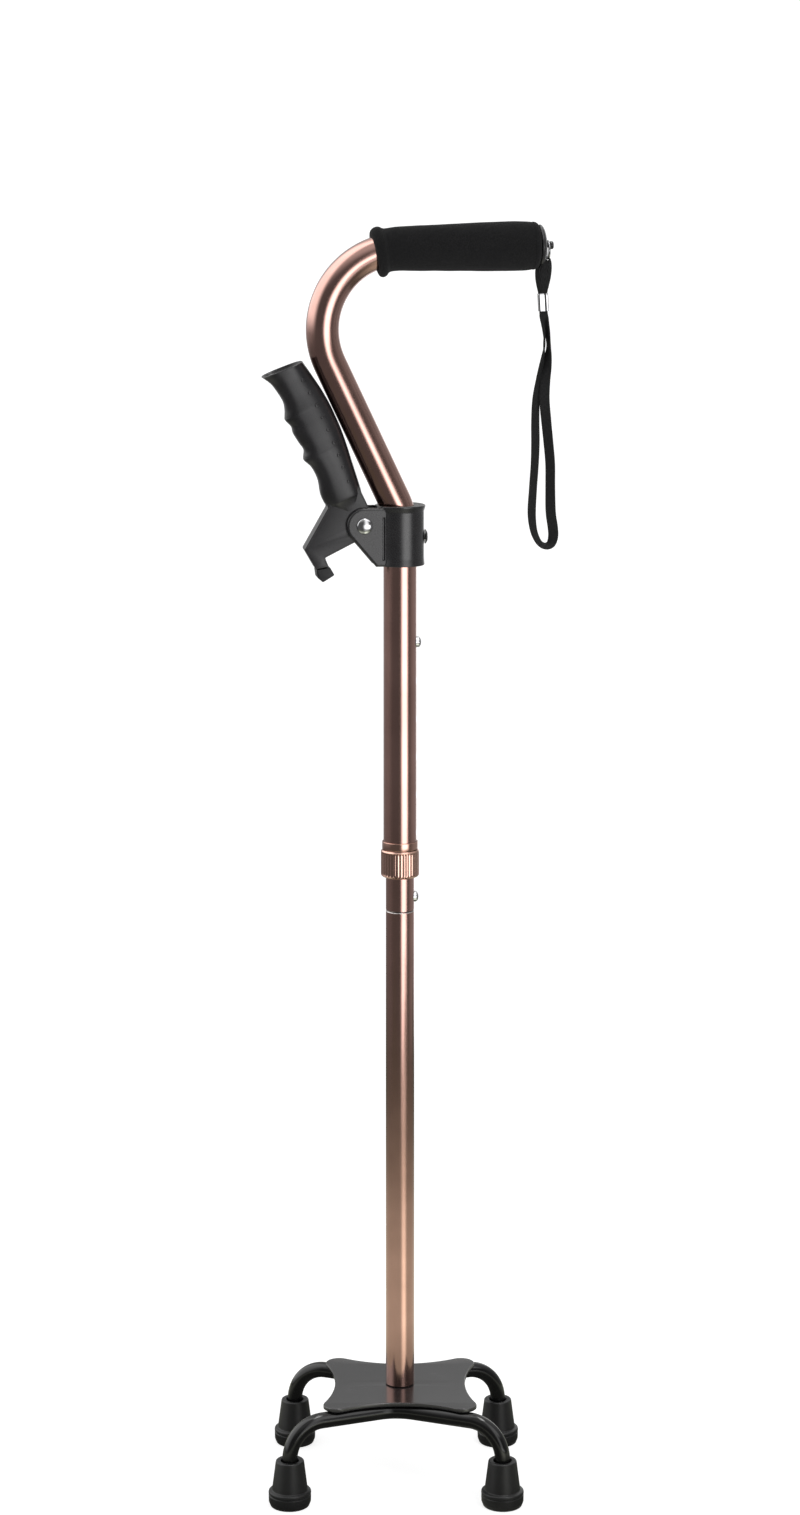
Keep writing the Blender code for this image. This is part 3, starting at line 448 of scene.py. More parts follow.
def arc(centre, radius, start, end, step=FINE_ARC):
    count = max(1, math.ceil(abs(end - start) / step))
    return [
        (centre[0] + radius * math.cos(a), centre[1] + radius * math.sin(a))
        for a in spread(start, end, count)
    ]


def rounded(corners, closed=True):
    """An outline or profile whose corners (x, y, radius) are turned into arcs of that radius."""
    points = []
    last = len(corners) - 1
    for i, (x, y, *radius) in enumerate(corners):
        corner = Vector((x, y))
        if not radius or (not closed and i in (0, last)):
            points.append((x, y))
            continue
        before = Vector(corners[i - 1][:2])
        after = Vector(corners[(i + 1) % len(corners)][:2])
        points += [tuple(point) for point in bend(before, corner, after, radius[0], CORNER_STEPS)]
    return points


def bend(before, corner, after, radius, count):
    """Points round an arc that replaces a corner. The arc shrinks to fit its two sides."""
    run, leave = (corner - before).normalized(), (after - corner).normalized()
    turn = run.angle(leave)
    room = BEND_SHARE * min((corner - before).length, (after - corner).length)
    reach = min(radius * math.tan(turn / 2), room)
    radius = reach / math.tan(turn / 2)
    inward = (leave - run * run.dot(leave)).normalized()
    start = corner - run * reach
    middle = start + inward * radius
    return [
        middle - inward * radius * math.cos(a) + run * radius * math.sin(a)
        for a in spread(0, turn, count)
    ]


def bent_path(corners, radii, spacing):
    """Evenly filled points along straight runs between corners, with an arc at each bend."""
    corners = [Vector(corner) for corner in corners]
    points = [corners[0]]
    for before, corner, after, radius in zip(corners, corners[1:], corners[2:], radii):
        turn = (corner - before).angle(after - corner)
        points += bend(before, corner, after, radius, math.ceil(turn / FINE_ARC))
    points.append(corners[-1])
    filled = [points[0]]
    for a, b in zip(points, points[1:]):
        pieces = max(1, round((b - a).length / spacing))
        filled += [a.lerp(b, (i + 1) / pieces) for i in range(pieces)]
    return filled


def smooth_between(stations, count):
    """Rows of numbers run through by a Catmull-Rom curve, with count steps between two rows."""
    rows = [Vector(row) for row in stations]
    rows = [rows[0] * 2 - rows[1], *rows, rows[-1] * 2 - rows[-2]]
    result = []
    for a, b, c, d in zip(rows, rows[1:], rows[2:], rows[3:]):
        for i in range(count):
            t = i / count
            square = (a * 2 - b * 5 + c * 4 - d) * t**2
            cube = (b * 3 - a - c * 3 + d) * t**3
            result.append((b * 2 + (c - a) * t + square + cube) / 2)
    result.append(rows[-2])
    return result


def handle_path(end_x, start_z, spacing=0.004):
    """The handle tube's centre line in the stem frame, from start_z to end_x on its top run."""
    lean = Vector((-math.sin(HANDLE_LEAN), 0, math.cos(HANDLE_LEAN)))
    rise = math.tan(GRIP_RISE)
    low_corner = Vector((0, 0, LOW_BEND_Z))
    reach = (GRIP_AXIS_Z - LOW_BEND_Z) / (lean.z - rise * lean.x)
    corners = [(0, 0, start_z), low_corner, low_corner + lean * reach, point_on_grip(end_x)]
    return bent_path(corners, (LOW_BEND_RADIUS, TOP_BEND_RADIUS), spacing)


def point_on_grip(x):
    return Vector((x, 0, GRIP_AXIS_Z + math.tan(GRIP_RISE) * x))


# Pieces


def add_piece(name, mesh, look, nodes, place=STEM, sharp=35, body=None):
    """A fine piece in its place, riding on the body of the CAD nodes that it stands for."""
    mesh.transform(place)
    mesh.materials.clear()
    mesh.materials.append(look)
    mesh.shade_smooth()
    mesh.set_sharp_from_angle(angle=math.radians(sharp))
    piece = linked(name, mesh)
    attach(piece, body or frame["nodes"][nodes[0]]["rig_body"])
    if body is None:
        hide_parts(*nodes)
    return piece


def add_detail(name, mesh, look, node, place=STEM, sharp=35):
    """A piece added to a CAD node that another piece stands for."""
    return add_piece(name, mesh, look, [node], place, sharp, frame["nodes"][node]["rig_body"])


# Materials


def scaled(colour, share):
    return tuple(channel * share for channel in colour)


class Look:
    """A material's node tree, with short calls for what the looks share."""

    def __init__(self, name, tree=None):
        if tree is None:
            self.material = bpy.data.materials.new(name)
            self.material.use_nodes = True
            tree = self.material.node_tree
        self.tree = tree
        self.shader = tree.nodes.get("Principled BSDF")

    def node(self, kind, inputs=(), **settings):
        node = self.tree.nodes.new("ShaderNode" + kind)
        for key, value in settings.items():
            setattr(node, key, value)
        for key, value in dict(inputs).items():
            self.set(node.inputs[key], value)
        return node

    def set(self, socket, value):
        if isinstance(value, bpy.types.NodeSocket):
            self.tree.links.new(value, socket)
        elif isinstance(value, tuple) and len(value) == 3 and socket.type == "RGBA":
            socket.default_value = (*value, 1)
        else:
            socket.default_value = value

    def finish(self, **values):
        """Sets the shader's inputs, named with _ for a space."""
        for key, value in values.items():
            self.set(self.shader.inputs[key.replace("_", " ")], value)
        return self.material

    def place(self, stretch=(1, 1, 1)):
        """Places on the piece in metres, stretched."""
        coordinates = self.node("TexCoord").outputs["Object"]
        return self.node("Mapping", {"Vector": coordinates, "Scale": stretch}).outputs[0]

    def along(self, stretch):
        """Places on the skin in metres, from its UV map, stretched."""
        places = self.node("UVMap", uv_map="metres").outputs[0]
        return self.node("Mapping", {"Vector": places, "Scale": stretch}).outputs[0]

    def grain(self, size, detail=3.0, vector=None):
        """Noise with features of this size in metres."""
        vector = vector or self.place()
        inputs = {"Vector": vector, "Scale": 1 / size, "Detail": detail}
        return self.node("TexNoise", inputs).outputs[0]

    def clouds(self, size):
        """Soft blotches of this size, from 0 to 1."""
        return self.fit(self.grain(size), 0.35, 0.65)

    def speckle(self, value, low, high):
        """The middle of a noise's values, stretched from low to high."""
        return self.fit(value, 0.3, 0.7, low, high)

    def cells(self, size):
        inputs = {"Vector": self.place(), "Scale": 1 / size}
        return self.node("TexVoronoi", inputs).outputs["Distance"]

    def fit(self, value, low, high, to_low=0.0, to_high=1.0, smooth=False):
        inputs = {"Value": value, "From Min": low, "From Max": high, "To Min": to_low, "To Max": to_high}
        kind = "SMOOTHSTEP" if smooth else "LINEAR"
        return self.node("MapRange", inputs, interpolation_type=kind).outputs[0]

    def sum(self, a, b, operation="ADD"):
        node = self.node("Math", operation=operation)
        self.set(node.inputs[0], a)
        self.set(node.inputs[1], b)
        return node.outputs[0]

    def times(self, a, b):
        return self.sum(a, b, "MULTIPLY")

    def mix(self, share, a, b):
        node = self.node("Mix", data_type="RGBA")
        self.set(node.inputs[0], share)
        self.set(node.inputs[6], a)
        self.set(node.inputs[7], b)
        return node.outputs[2]

    def bump(self, height, depth, normal=None):
        """A bumped normal. Depth is in metres for a height of 1."""
        inputs = {"Height": height, "Distance": depth, "Strength": 1.0}
        if normal:
            inputs["Normal"] = normal
        return self.node("Bump", inputs).outputs[0]

    def edges(self, radius):
        """1 on edges and 0 on flats, from how far rounding an edge would turn its face."""
        soft = self.node("Bevel", {"Radius": radius}, samples=4).outputs[0]
        plain = self.node("NewGeometry").outputs["Normal"]
        together = self.node("VectorMath", operation="DOT_PRODUCT")
        self.set(together.inputs[0], soft)
        self.set(together.inputs[1], plain)
        return self.fit(together.outputs["Value"], 0.99, 0.90)


def anodised(name, colour, dark, roughness):
    """Drawn and anodised aluminium: faint lines along the tube under a clear, dyed skin."""
    look = Look(name)
    lines = look.grain(0.0002, 2.0, look.along((1, 0.004, 1)))
    scuffs = look.fit(look.grain(0.0006, 4.0, look.along((0.25, 1, 1))), 0.66, 0.74)
    tone = look.mix(look.clouds(0.03), dark, colour)
    polish = look.speckle(lines, roughness - 0.03, roughness + 0.05)
    return look.finish(
        Base_Color=look.mix(look.times(scuffs, 0.12), tone, (0.75, 0.55, 0.45)),
        Metallic=1.0,
        Roughness=look.sum(polish, look.times(scuffs, 0.06)),
        Coat_Weight=0.15,
        Coat_Roughness=0.10,
        Normal=look.bump(lines, 0.0000015),
    )


def plated(name, colour, roughness):
    """Bright plated steel with fine polishing marks."""
    look = Look(name)
    marks = look.grain(0.0009, 5.0, look.place((1, 1, 0.2)))
    return look.finish(
        Base_Color=look.mix(look.speckle(look.grain(0.004), 0.0, 1.0), colour, scaled(colour, 0.86)),
        Metallic=1.0,
        Roughness=look.speckle(marks, roughness * 0.7, roughness * 1.5),
        Normal=look.bump(marks, 0.000002),
    )


def painted(name, colour, roughness, worn, shine):
    """Powder-coated steel: a faint orange peel, and paint a little thin on the edges."""
    look = Look(name)
    peel = look.grain(0.0016, 1.0)
    dust = look.grain(0.0003, 2.0)
    clouds = look.clouds(0.02)
    edge = look.times(look.edges(0.0006), look.fit(look.grain(0.003, 4.0), 0.45, 0.65))
    tone = look.mix(clouds, colour, scaled(colour, 1.25))
    polish = look.speckle(dust, roughness - 0.03, roughness + 0.05)
    return look.finish(
        Base_Color=look.mix(look.times(edge, 0.35), tone, worn),
        Roughness=look.sum(polish, look.times(clouds, 0.03)),
        Specular_IOR_Level=shine,
        Normal=look.bump(peel, 0.000006, look.bump(dust, 0.0000005)),
    )


def moulded(name, colour, roughness, grain_size, grain_depth, shine):
    """Moulded plastic or rubber: spark-eroded grain, rubbed smoother and paler on its edges."""
    look = Look(name)
    grain = look.grain(grain_size, 3.0)
    clouds = look.clouds(0.012)
    edge = look.edges(0.0007)
    tone = look.mix(clouds, colour, scaled(colour, 1.3))
    polish = look.speckle(grain, roughness - 0.05, roughness + 0.07)
    return look.finish(
        Base_Color=look.mix(look.times(edge, 0.35), tone, scaled(colour, 3)),
        Roughness=look.sum(polish, look.times(edge, -0.08)),
        Specular_IOR_Level=shine,
        Normal=look.bump(grain, grain_depth),
    )


def foamed(name, colour):
    """Closed-cell foam: a fine cellular skin, dead matt, with a trace of bloom."""
    look = Look(name)
    cells = look.cells(0.0007)
    grain = look.grain(0.0022, 4.0)
    clouds = look.clouds(0.015)
    tone = look.mix(clouds, colour, scaled(colour, 1.25))
    return look.finish(
        Base_Color=look.mix(look.fit(cells, 0.25, 0.6), tone, scaled(colour, 0.7)),
        Roughness=look.fit(cells, 0.0, 0.6, 0.86, 0.96),
        Specular_IOR_Level=0.12,
        Sheen_Weight=0.02,
        Sheen_Roughness=0.6,
        Normal=look.bump(cells, 0.00006, look.bump(grain, 0.00008)),
    )


def woven(name, colour):
    """Flat nylon webbing: rows of yarn that pass over and under, and a ribbed edge."""
    look = Look(name)
    yarns = []
    for slant in (1, -1):
        inputs = {"Vector": look.along((slant / YARN_PITCH, 1 / YARN_PITCH, 1)), "Scale": 0.157}
        wave = look.node("TexWave", inputs, wave_type="BANDS", bands_direction="DIAGONAL")
        yarns.append(wave.outputs[1])
    weave = look.sum(*yarns, "MAXIMUM")
    fibres = look.grain(0.00015, 3.0, look.along((1, 0.2, 1)))
    tone = look.mix(weave, scaled(colour, 0.7), scaled(colour, 1.2))
    return look.finish(
        Base_Color=look.mix(look.fit(fibres, 0.4, 0.7), tone, scaled(colour, 1.3)),
        Roughness=look.speckle(fibres, 0.68, 0.86),
        Specular_IOR_Level=0.20,
        Sheen_Weight=0.02,
        Sheen_Roughness=0.5,
        Normal=look.bump(weave, 0.00010, look.bump(fibres, 0.00001)),
    )


COPPER = anodised("copper_tube", (0.43, 0.258, 0.222), (0.37, 0.220, 0.188), 0.17)
BRIGHT_COPPER = anodised("bright_copper", (0.50, 0.305, 0.245), (0.43, 0.258, 0.205), 0.17)
CHROME = plated("plated_steel", (0.42, 0.42, 0.43), 0.12)
DARK_WIRE = plated("dark_wire", (0.28, 0.28, 0.29), 0.16)
CUT_METAL = plated("cut_metal", (0.42, 0.39, 0.38), 0.28)
SPRING_STEEL = plated("spring_steel", (0.40, 0.40, 0.42), 0.30)
GLOSS_PAINT = painted("gloss_paint", (0.0040, 0.0040, 0.0040), 0.09, (0.04, 0.04, 0.04), 0.30)
SATIN_PAINT = painted("satin_paint", (0.014, 0.0135, 0.014), 0.20, (0.06, 0.06, 0.06), 0.55)
NYLON = moulded("black_nylon", (0.0105, 0.0101, 0.0109), 0.27, 0.0004, 0.000004, 0.46)
GRIP_PLASTIC = moulded("grip_plastic", (0.0100, 0.0095, 0.0104), 0.31, 0.0005, 0.000012, 0.32)
RUBBER = moulded("black_rubber", (0.0066, 0.0066, 0.0068), 0.40, 0.0006, 0.00003, 0.26)
WHITE_NYLON = moulded("white_nylon", (0.68, 0.68, 0.64), 0.45, 0.0005, 0.00001, 0.5)
FOAM = foamed("black_foam", (0.0092, 0.0092, 0.0096))
WEBBING = woven("black_webbing", (0.0070, 0.0070, 0.0073))


# Base


def plate_outline():
    """Four round corners joined by sides that bow inwards to the waists."""
    overlap_x, overlap_y = PLATE_CORNER_OVERLAP
    centre = (PLATE_HALF.x - PLATE_CORNER, PLATE_HALF.y - PLATE_CORNER)
    corner = arc(centre, PLATE_CORNER, -overlap_x, math.pi / 2 + overlap_y)
    quarters = [corner]
    for sign_x, sign_y, backwards in ((-1, 1, True), (-1, -1, False), (1, -1, True)):
        quarter = [(x * sign_x, y * sign_y) for x, y in corner]
        quarters.append(quarter[::-1] if backwards else quarter)
    waists = [(0, PLATE_WAIST[1]), (-PLATE_WAIST[0], 0), (0, -PLATE_WAIST[1]), (PLATE_WAIST[0], 0)]
    outline = []
    for i, (quarter, waist) in enumerate(zip(quarters, waists)):
        outline += quarter
        outline += bowed_side(quarter[-1], waist, quarters[(i + 1) % len(quarters)][0])
    return outline


def bowed_side(start, middle, end):
    """The inner points of an arc through three points, the second of them half-way."""
    start, middle, end = Vector(start), Vector(middle), Vector(end)
    chord_middle = (start + end) / 2
    depth = (middle - chord_middle).length
    half = (end - start).length / 2
    radius = (half * half + depth * depth) / (2 * depth)
    centre = middle - (middle - chord_middle).normalized() * radius
    first = math.atan2(*(start - centre).yx)
    swing = 2 * math.asin(half / radius)
    towards = -1 if (start - centre).cross(end - centre) < 0 else 1
    return arc(centre, radius, first, first + towards * swing)[1:-1]


def add_plate():
    hole = arc((0, 0), BOLT_HOLE, 0, 2 * math.pi)[:-1]
    mesh = flat("plate", [plate_outline(), hole], PLATE_THICKNESS / 2, PLATE_EDGE)
    lift = Matrix.Translation((0, 0, PLATE_TOP - PLATE_THICKNESS / 2))
    placed(mesh, UPRIGHT.inverted(), lift)
    add_piece("plate_with_rounded_edges", mesh, SATIN_PAINT, ["base_plate"], BASE)


def leg_path(side):
    left = middle_of("tip_front_left")
    right = middle_of("tip_front_right")
    foot = top_of("tip_washer_front_left") + GAP
    y = side * abs(left.y)
    corners = [
        (left.x, y, foot),
        (left.x, y, LEG_LEVEL),
        ((left.x + right.x) / 2, side * LEG_MIDDLE_Y, LEG_LEVEL),
        (right.x, y, LEG_LEVEL),
        (right.x, y, foot),
    ]
    return bent_path(corners, (LEG_BEND, LEG_MIDDLE_BEND, LEG_BEND), 0.003)


def add_legs():
    for name, side in (("front_leg", -1), ("rear_leg", 1)):
        path = leg_path(side)
        mesh = loft(name, rings_along(path, [LEG_RADIUS] * len(path), ROD_SIDES), caps=True)
        add_piece(f"bent_{name}", mesh, GLOSS_PAINT, [name], WORLD)
        add_welds(name, side)


def add_welds(leg, side):
    """A lumpy seam in the corner between the leg and the plate, and a bead of three ripples."""
    path = [p for p in leg_path(side) if abs(p.x - BASE.translation.x) < WELD_REACH]
    seam = [p + Vector((0, -side * 0.0022, LEG_RADIUS * 0.82)) for p in path]
    radii = [SEAM_RADIUS + SEAM_LUMP * noise.noise(p * 400) for p in seam]
    radii[0] = radii[-1] = SEAM_END
    beads = [loft("seam", rings_along(seam, radii, 16), caps=True)]
    spot_y = side * (LEG_MIDDLE_Y + 0.0034)
    for step in (-1, 0, 1):
        bm = bmesh.new()
        bmesh.ops.create_icosphere(bm, subdivisions=3, radius=1)
        for vert in bm.verts:
            swell = 1 + 0.2 * noise.noise(vert.co * 1.7 + Vector((step, side, 0)))
            vert.co = Vector(a * b * swell for a, b in zip(vert.co, WELD_SIZE))
        spot = mesh_of("spot", bm)
        place = (BASE.translation.x - 0.0060 + step * 0.0010, spot_y, LEG_LEVEL + 0.0038)
        beads.append(placed(spot, Matrix.Translation(place)))
    add_detail(f"{leg}_welds", merged("welds", beads), GLOSS_PAINT, leg, WORLD, 60)


def tip_profile():
    """Down the outer side, across a grooved sole, and up the socket to the mouth."""
    cone_low, cone_high = TIP_CONE
    lip_top, lip_low = TIP_LIP
    outer = [
        (TIP_MOUTH, TIP_HEIGHT, 0.0006),
        (cone_high, TIP_HEIGHT, 0.0010),
        (cone_low, lip_top + 0.0006, 0.0006),
        (TIP_RADIUS - 0.0002, lip_top, 0.0009),
        (TIP_RADIUS, lip_low, 0.0004),
        (TIP_RADIUS - 0.0006, lip_low - 0.0003, 0.0002),
        (TIP_RADIUS - 0.0006, lip_low - 0.0008, 0.0002),
        (TIP_RADIUS - 0.0001, lip_low - 0.0011, 0.0004),
        (TIP_RADIUS - 0.0002, 0.0030, 0.0015),
        (TIP_RADIUS - 0.0014, 0, 0.0010),
    ]
    for ring in reversed(TIP_SOLE_RINGS):
        outer += [
            (ring + 0.0006, 0, 0.0002),
            (ring + 0.0003, TIP_SOLE_GROOVE, 0.0002),
            (ring - 0.0003, TIP_SOLE_GROOVE, 0.0002),
            (ring - 0.0006, 0, 0.0002),
        ]
    socket = LEG_RADIUS + GAP
    inner = [
        (0, 0),
        (0, TIP_SOCKET_FLOOR),
        (socket, TIP_SOCKET_FLOOR),
        (socket, TIP_HEIGHT - 0.003, 0.0005),
    ]
    return rounded(outer + inner)


def add_tips():
    for place in TIP_PLACES:
        node = f"tip_{place}"
        centre = middle_of(node)
        mesh = turned(node, tip_profile(), TIP_SIDES)
        stand = Matrix.Translation((centre.x, centre.y, 0))
        add_piece(f"moulded_{node}", mesh, RUBBER, [node], stand, 30)


# Stem


def straight_tube(name, low, high, sides=TUBE_SIDES):
    """A tube whose ends are cut with a small bright chamfer."""
    inner = LOWER_RADIUS - TUBE_WALL
    chamfered = LOWER_RADIUS - TUBE_CHAMFER
    outer = [(LOWER_RADIUS, z) for z in spread(high - TUBE_CHAMFER, low + TUBE_CHAMFER, 12)]
    profile = [(inner, high), (chamfered, high), *outer, (chamfered, low), (inner, low)]
    return turned(name, profile, sides)


def side_hole(radius, z, start=0):
    """A cutter for a hole in the +X side of the stem."""
    length = UPPER_RADIUS + 2 * OVERSHOOT
    cutter = rod(radius, start, length)
    return placed(cutter, ALONG_X, Matrix.Translation((0, 0, z)))


def brighten_ends(piece, ends, reach):
    """The faces near the tube's cut ends take the bare metal's look."""
    piece.data.materials.append(CUT_METAL)
    for face in piece.data.polygons:
        if any(abs(face.center.z - end) < reach for end in ends):
            face.material_index = 1


def add_tubes():
    base_tube = straight_tube("base_tube", low_of("base_tube"), JOINT_LINE)
    piece = add_piece("drawn_base_tube", base_tube, COPPER, ["base_tube"])
    brighten_ends(piece, (JOINT_LINE,), TUBE_CHAMFER)
    low = low_of("middle_tube")
    middle_tube = straight_tube("middle_tube", low, MIDDLE_TOP)
    holes = [side_hole(BUTTON_HOLE, middle_of(node).z) for node in ("lower_button", "upper_button")]
    piece = add_piece("drawn_middle_tube", combined(middle_tube, holes), COPPER, ["middle_tube"])
    brighten_ends(piece, (low, MIDDLE_TOP), TUBE_CHAMFER)


def add_buttons():
    for place, back in BUTTON_BACK.items():
        node = f"{place}_button"
        low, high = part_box(node)
        centre = (low + high) / 2
        reach = (STEM.inverted() @ Vector((high.x, centre.y, centre.z))).x
        dome = [
            (BUTTON_RADIUS * math.cos(a), reach - BUTTON_DOME * (1 - math.sin(a)))
            for a in spread(math.pi / 2, 0, 10)
        ]
        flange = back + 0.001
        dome += [(BUTTON_RADIUS, flange), (BUTTON_FLANGE, flange), (BUTTON_FLANGE, back), (0, back)]
        mesh = turned(node, dome, 48, joined=False)
        placed(mesh, ALONG_X, Matrix.Translation((0, 0, centre.z)))
        add_piece(f"domed_{node}", mesh, CHROME, [node])


def add_springs():
    """A leaf bent to a V behind each snap button, in its open shape; the real leaf closes as the button
    goes in.
    """
    for place, room in SPRING_ROOM.items():
        z = middle_of(f"{place}_button").z
        far = math.sqrt(room**2 - (SPRING_WIDTH / 2) ** 2) - 2 * GAP - SPRING_THICKNESS
        near = BUTTON_BACK[place] - GAP - SPRING_THICKNESS
        foot = z - SPRING_LENGTH
        turn = SPRING_LENGTH / 8
        leaf = rounded([
            (near, z + BUTTON_FLANGE),
            (near, z - BUTTON_FLANGE, 0.0020),
            (0, foot, 0.0015),
            (-turn / 2, foot - turn / 4, 0.0010),
            (-turn, foot, 0.0015),
            (-far, z),
        ], closed=False)
        mesh = flat("leaf", [strip(leaf, SPRING_THICKNESS / 2)], SPRING_WIDTH / 2, 0.0001)
        piece = add_piece(f"{place}_leaf_spring", mesh, SPRING_STEEL, [f"{place}_button_spring"])
        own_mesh(piece)


def strip(path, half_thickness):
    """The outline of a thin strip that follows a path."""
    left, right = [], []
    for i, point in enumerate(path):
        before, after = Vector(path[max(i - 1, 0)]), Vector(path[min(i + 1, len(path) - 1)])
        along = (after - before).normalized()
        out = Vector((-along.y, along.x)) * half_thickness
        left.append(tuple(Vector(point) + out))
        right.append(tuple(Vector(point) - out))
    return left + right[::-1]


def add_handle_tube():
    path = handle_path(TUBE_END_X, HANDLE_LOW)
    bore = UPPER_RADIUS - TUBE_WALL
    mesh = hollow_tube("handle_tube", path, [UPPER_RADIUS] * len(path), [bore] * len(path))
    top_hole = middle_of("upper_button").z
    holes = [side_hole(BUTTON_HOLE, top_hole - i * HOLE_PITCH) for i in range(HOLE_COUNT)]
    holes.append(side_hole(SCREW_HOLE, SCREW_Z))
    add_piece("drawn_handle_tube", combined(mesh, holes), COPPER, ["handle_tube"])


def ribbed(radius, angle, height):
    """The nut's radius, scalloped between its ribs over the middle of its height."""
    if radius < NUT_RADIUS - 0.0002:
        return radius
    ribs_low, ribs_top = NUT_RIB_ENDS
    inside = min(height - NUT_LOW - ribs_low, NUT_TOP - ribs_top - height)
    ends = min(1, max(0, inside / NUT_RIB_FADE))
    wave = (0.5 - 0.5 * math.cos(NUT_RIBS * angle)) ** 0.7
    return radius - NUT_RIB_DEPTH * ends * (1 - wave)


def add_collar():
    add_collar_ring()
    add_collar_nut()
    collet = rounded([
        (COLLET_RADIUS, COLLET_TOP),
        (COLLET_RADIUS, COLLET_LOW, 0.0003),
        (COLLAR_BORE, COLLET_LOW),
        (COLLAR_BORE, COLLET_TOP),
    ])
    add_piece("split_collet", turned("collar_collet", collet), BRIGHT_COPPER, ["collar_collet"])


def add_collar_ring():
    neck, bore = 0.0109, COLLAR_BORE
    ring = 0.0120
    ring_low = 0.4178
    sleeve = rounded([
        (UPPER_RADIUS + GAP, COLLAR_TOP, 0.0001),
        (ring, COLLAR_TOP, 0.0006),
        (ring, ring_low, 0.0005),
        (neck, ring_low),
        (neck, COLLAR_LOW),
        (bore, COLLAR_LOW),
        (bore, HANDLE_LOW - GAP),
        (UPPER_RADIUS + GAP, HANDLE_LOW - GAP),
    ])
    add_piece("polished_collar_ring", turned("collar_sleeve", sleeve), BRIGHT_COPPER, ["collar_sleeve"])


def add_collar_nut():
    thread, mouth_radius, mouth_depth = 0.0113, 0.0107, 0.0023
    ribs_low, ribs_top = NUT_RIB_ENDS
    nut = [
        (thread, NUT_TOP - 0.001),
        (thread, NUT_TOP),
        (NUT_RADIUS - 0.0007, NUT_TOP),
        *[(NUT_RADIUS, z) for z in spread(NUT_TOP - ribs_top, NUT_LOW + ribs_low, 24)],
        (NUT_RADIUS - 0.0004, NUT_LOW + 0.0005),
        (NUT_RADIUS - 0.0012, NUT_LOW),
        (mouth_radius, NUT_LOW),
        (mouth_radius, NUT_LOW + mouth_depth),
        (thread, NUT_LOW + mouth_depth),
    ]
    mesh = turned("collar_nut", nut, 8 * NUT_RIBS, shape=ribbed)
    add_piece("ribbed_collar_nut", mesh, BRIGHT_COPPER, ["collar_nut"])


# Grip on the handle


def grip_stations():
    """How far along the grip, and the foam's radius there: a rolled bead, then a swelling body."""
    length = GRIP_END_X - FOAM_START_X
    bead = [
        (0.0036 - 0.0036 * math.cos(a), 0.0140 + 0.0032 * math.sin(a))
        for a in spread(0, math.pi, 12)[:-2]
    ]
    body = [
        (0.0088, 0.01480),
        (0.0150, 0.01485),
        (0.0365, 0.01540),
        (0.0560, 0.01600),
        (0.0830, 0.01675),
        (length * 0.90, 0.01660),
        (length * 0.96, 0.01600),
    ]
    end = [
        (length - 0.0042 + 0.0042 * math.sin(a), 0.0122 + 0.0040 * math.cos(a))
        for a in spread(0, math.pi / 2, 6)
    ]
    return bead, body, end


def on_handle(along):
    """The point of the handle's centre line that is this far along the grip."""
    path = [p for p in handle_path(GRIP_END_X, HANDLE_LOW, 0.001) if p.z > LOW_BEND_Z + 0.1]
    x = FOAM_START_X + along
    for a, b in zip(path, path[1:]):
        if a.x <= x <= b.x:
            return a.lerp(b, (x - a.x) / (b.x - a.x))
    return point_on_grip(x)


def foam_spokes(along):
    """Directions round the foam at this place: upright, but leaning at the bead."""
    lean = -FOAM_BEAD_LEAN * max(0, 1 - along / FOAM_BEAD_REACH)
    up = Vector((math.sin(lean), 0, math.cos(lean)))
    return [up * math.cos(a) + Vector((0, math.sin(a), 0)) for a in angles_round(TUBE_SIDES)]


def add_foam_grip():
    """A foam sleeve: a rolled bead that leans less than the bend it sits on, then a crowned body."""
    bead, body, end = grip_stations()
    middle = smooth_between([bead[-1], *body, end[0]], 8)[1:-1]
    stations = bead + [tuple(row) for row in middle] + end
    path = [on_handle(along) for along, _ in stations]
    outside = []
    for (along, radius), centre in zip(stations, path):
        ring = []
        for spoke in foam_spokes(along):
            point = centre + spoke * radius
            ring.append(point + spoke * noise.fractal(point * 55, 1.0, 2.0, 3) * FOAM_DENT)
        outside.append(ring)
    bore = UPPER_RADIUS + GAP
    inside = [
        [centre + spoke * bore for spoke in foam_spokes(centre.x - FOAM_START_X)]
        for centre in [*path[::6], path[-1]]
    ]
    mesh = loft("foam_grip", outside + inside[::-1], joined=True)
    add_piece("foam_sleeve", mesh, FOAM, ["foam_grip"], sharp=50)


def add_end_cap():
    """The cap on the grip's end, with its plug in the tube, and the strap's post through it."""
    facing_out = Matrix.Rotation(math.pi / 2 - GRIP_RISE, 4, "Y")
    place = STEM @ Matrix.Translation(point_on_grip(GRIP_END_X)) @ facing_out
    hole, plug = 0.0019, 0.0094
    dome = [
        (CAP_RADIUS * math.sin(a), CAP_BULGE * (0.12 + 0.88 * math.cos(a)) + GAP)
        for a in spread(0, math.pi / 2, 14)
        if CAP_RADIUS * math.sin(a) > hole * 1.3
    ]
    plug_end = TUBE_END_X - GRIP_END_X - 0.012
    profile = [
        (hole, dome[0][1] - 0.0002),
        *dome,
        (CAP_RADIUS - 0.0004, GAP),
        (plug, GAP),
        (plug, plug_end),
        (hole, plug_end),
    ]
    add_piece("domed_end_cap", turned("grip_end_cap", profile, 72), NYLON, ["grip_end_cap"], place)
    neck, knob_low = 0.0016, CAP_BULGE + 0.0026
    knob_top = knob_low + 0.0024
    post = rounded([
        (0, knob_top),
        (0.0027, knob_top, 0.0009),
        (0.0027, knob_low, 0.0004),
        (neck, knob_low, 0.0002),
        (neck, -0.010),
        (0, -0.010),
    ], closed=False)
    mesh = turned("strap_post", post, ROD_SIDES, joined=False)
    add_piece("strap_post_with_knob", mesh, GLOSS_PAINT, ["strap_post"], place)


# Wrist strap


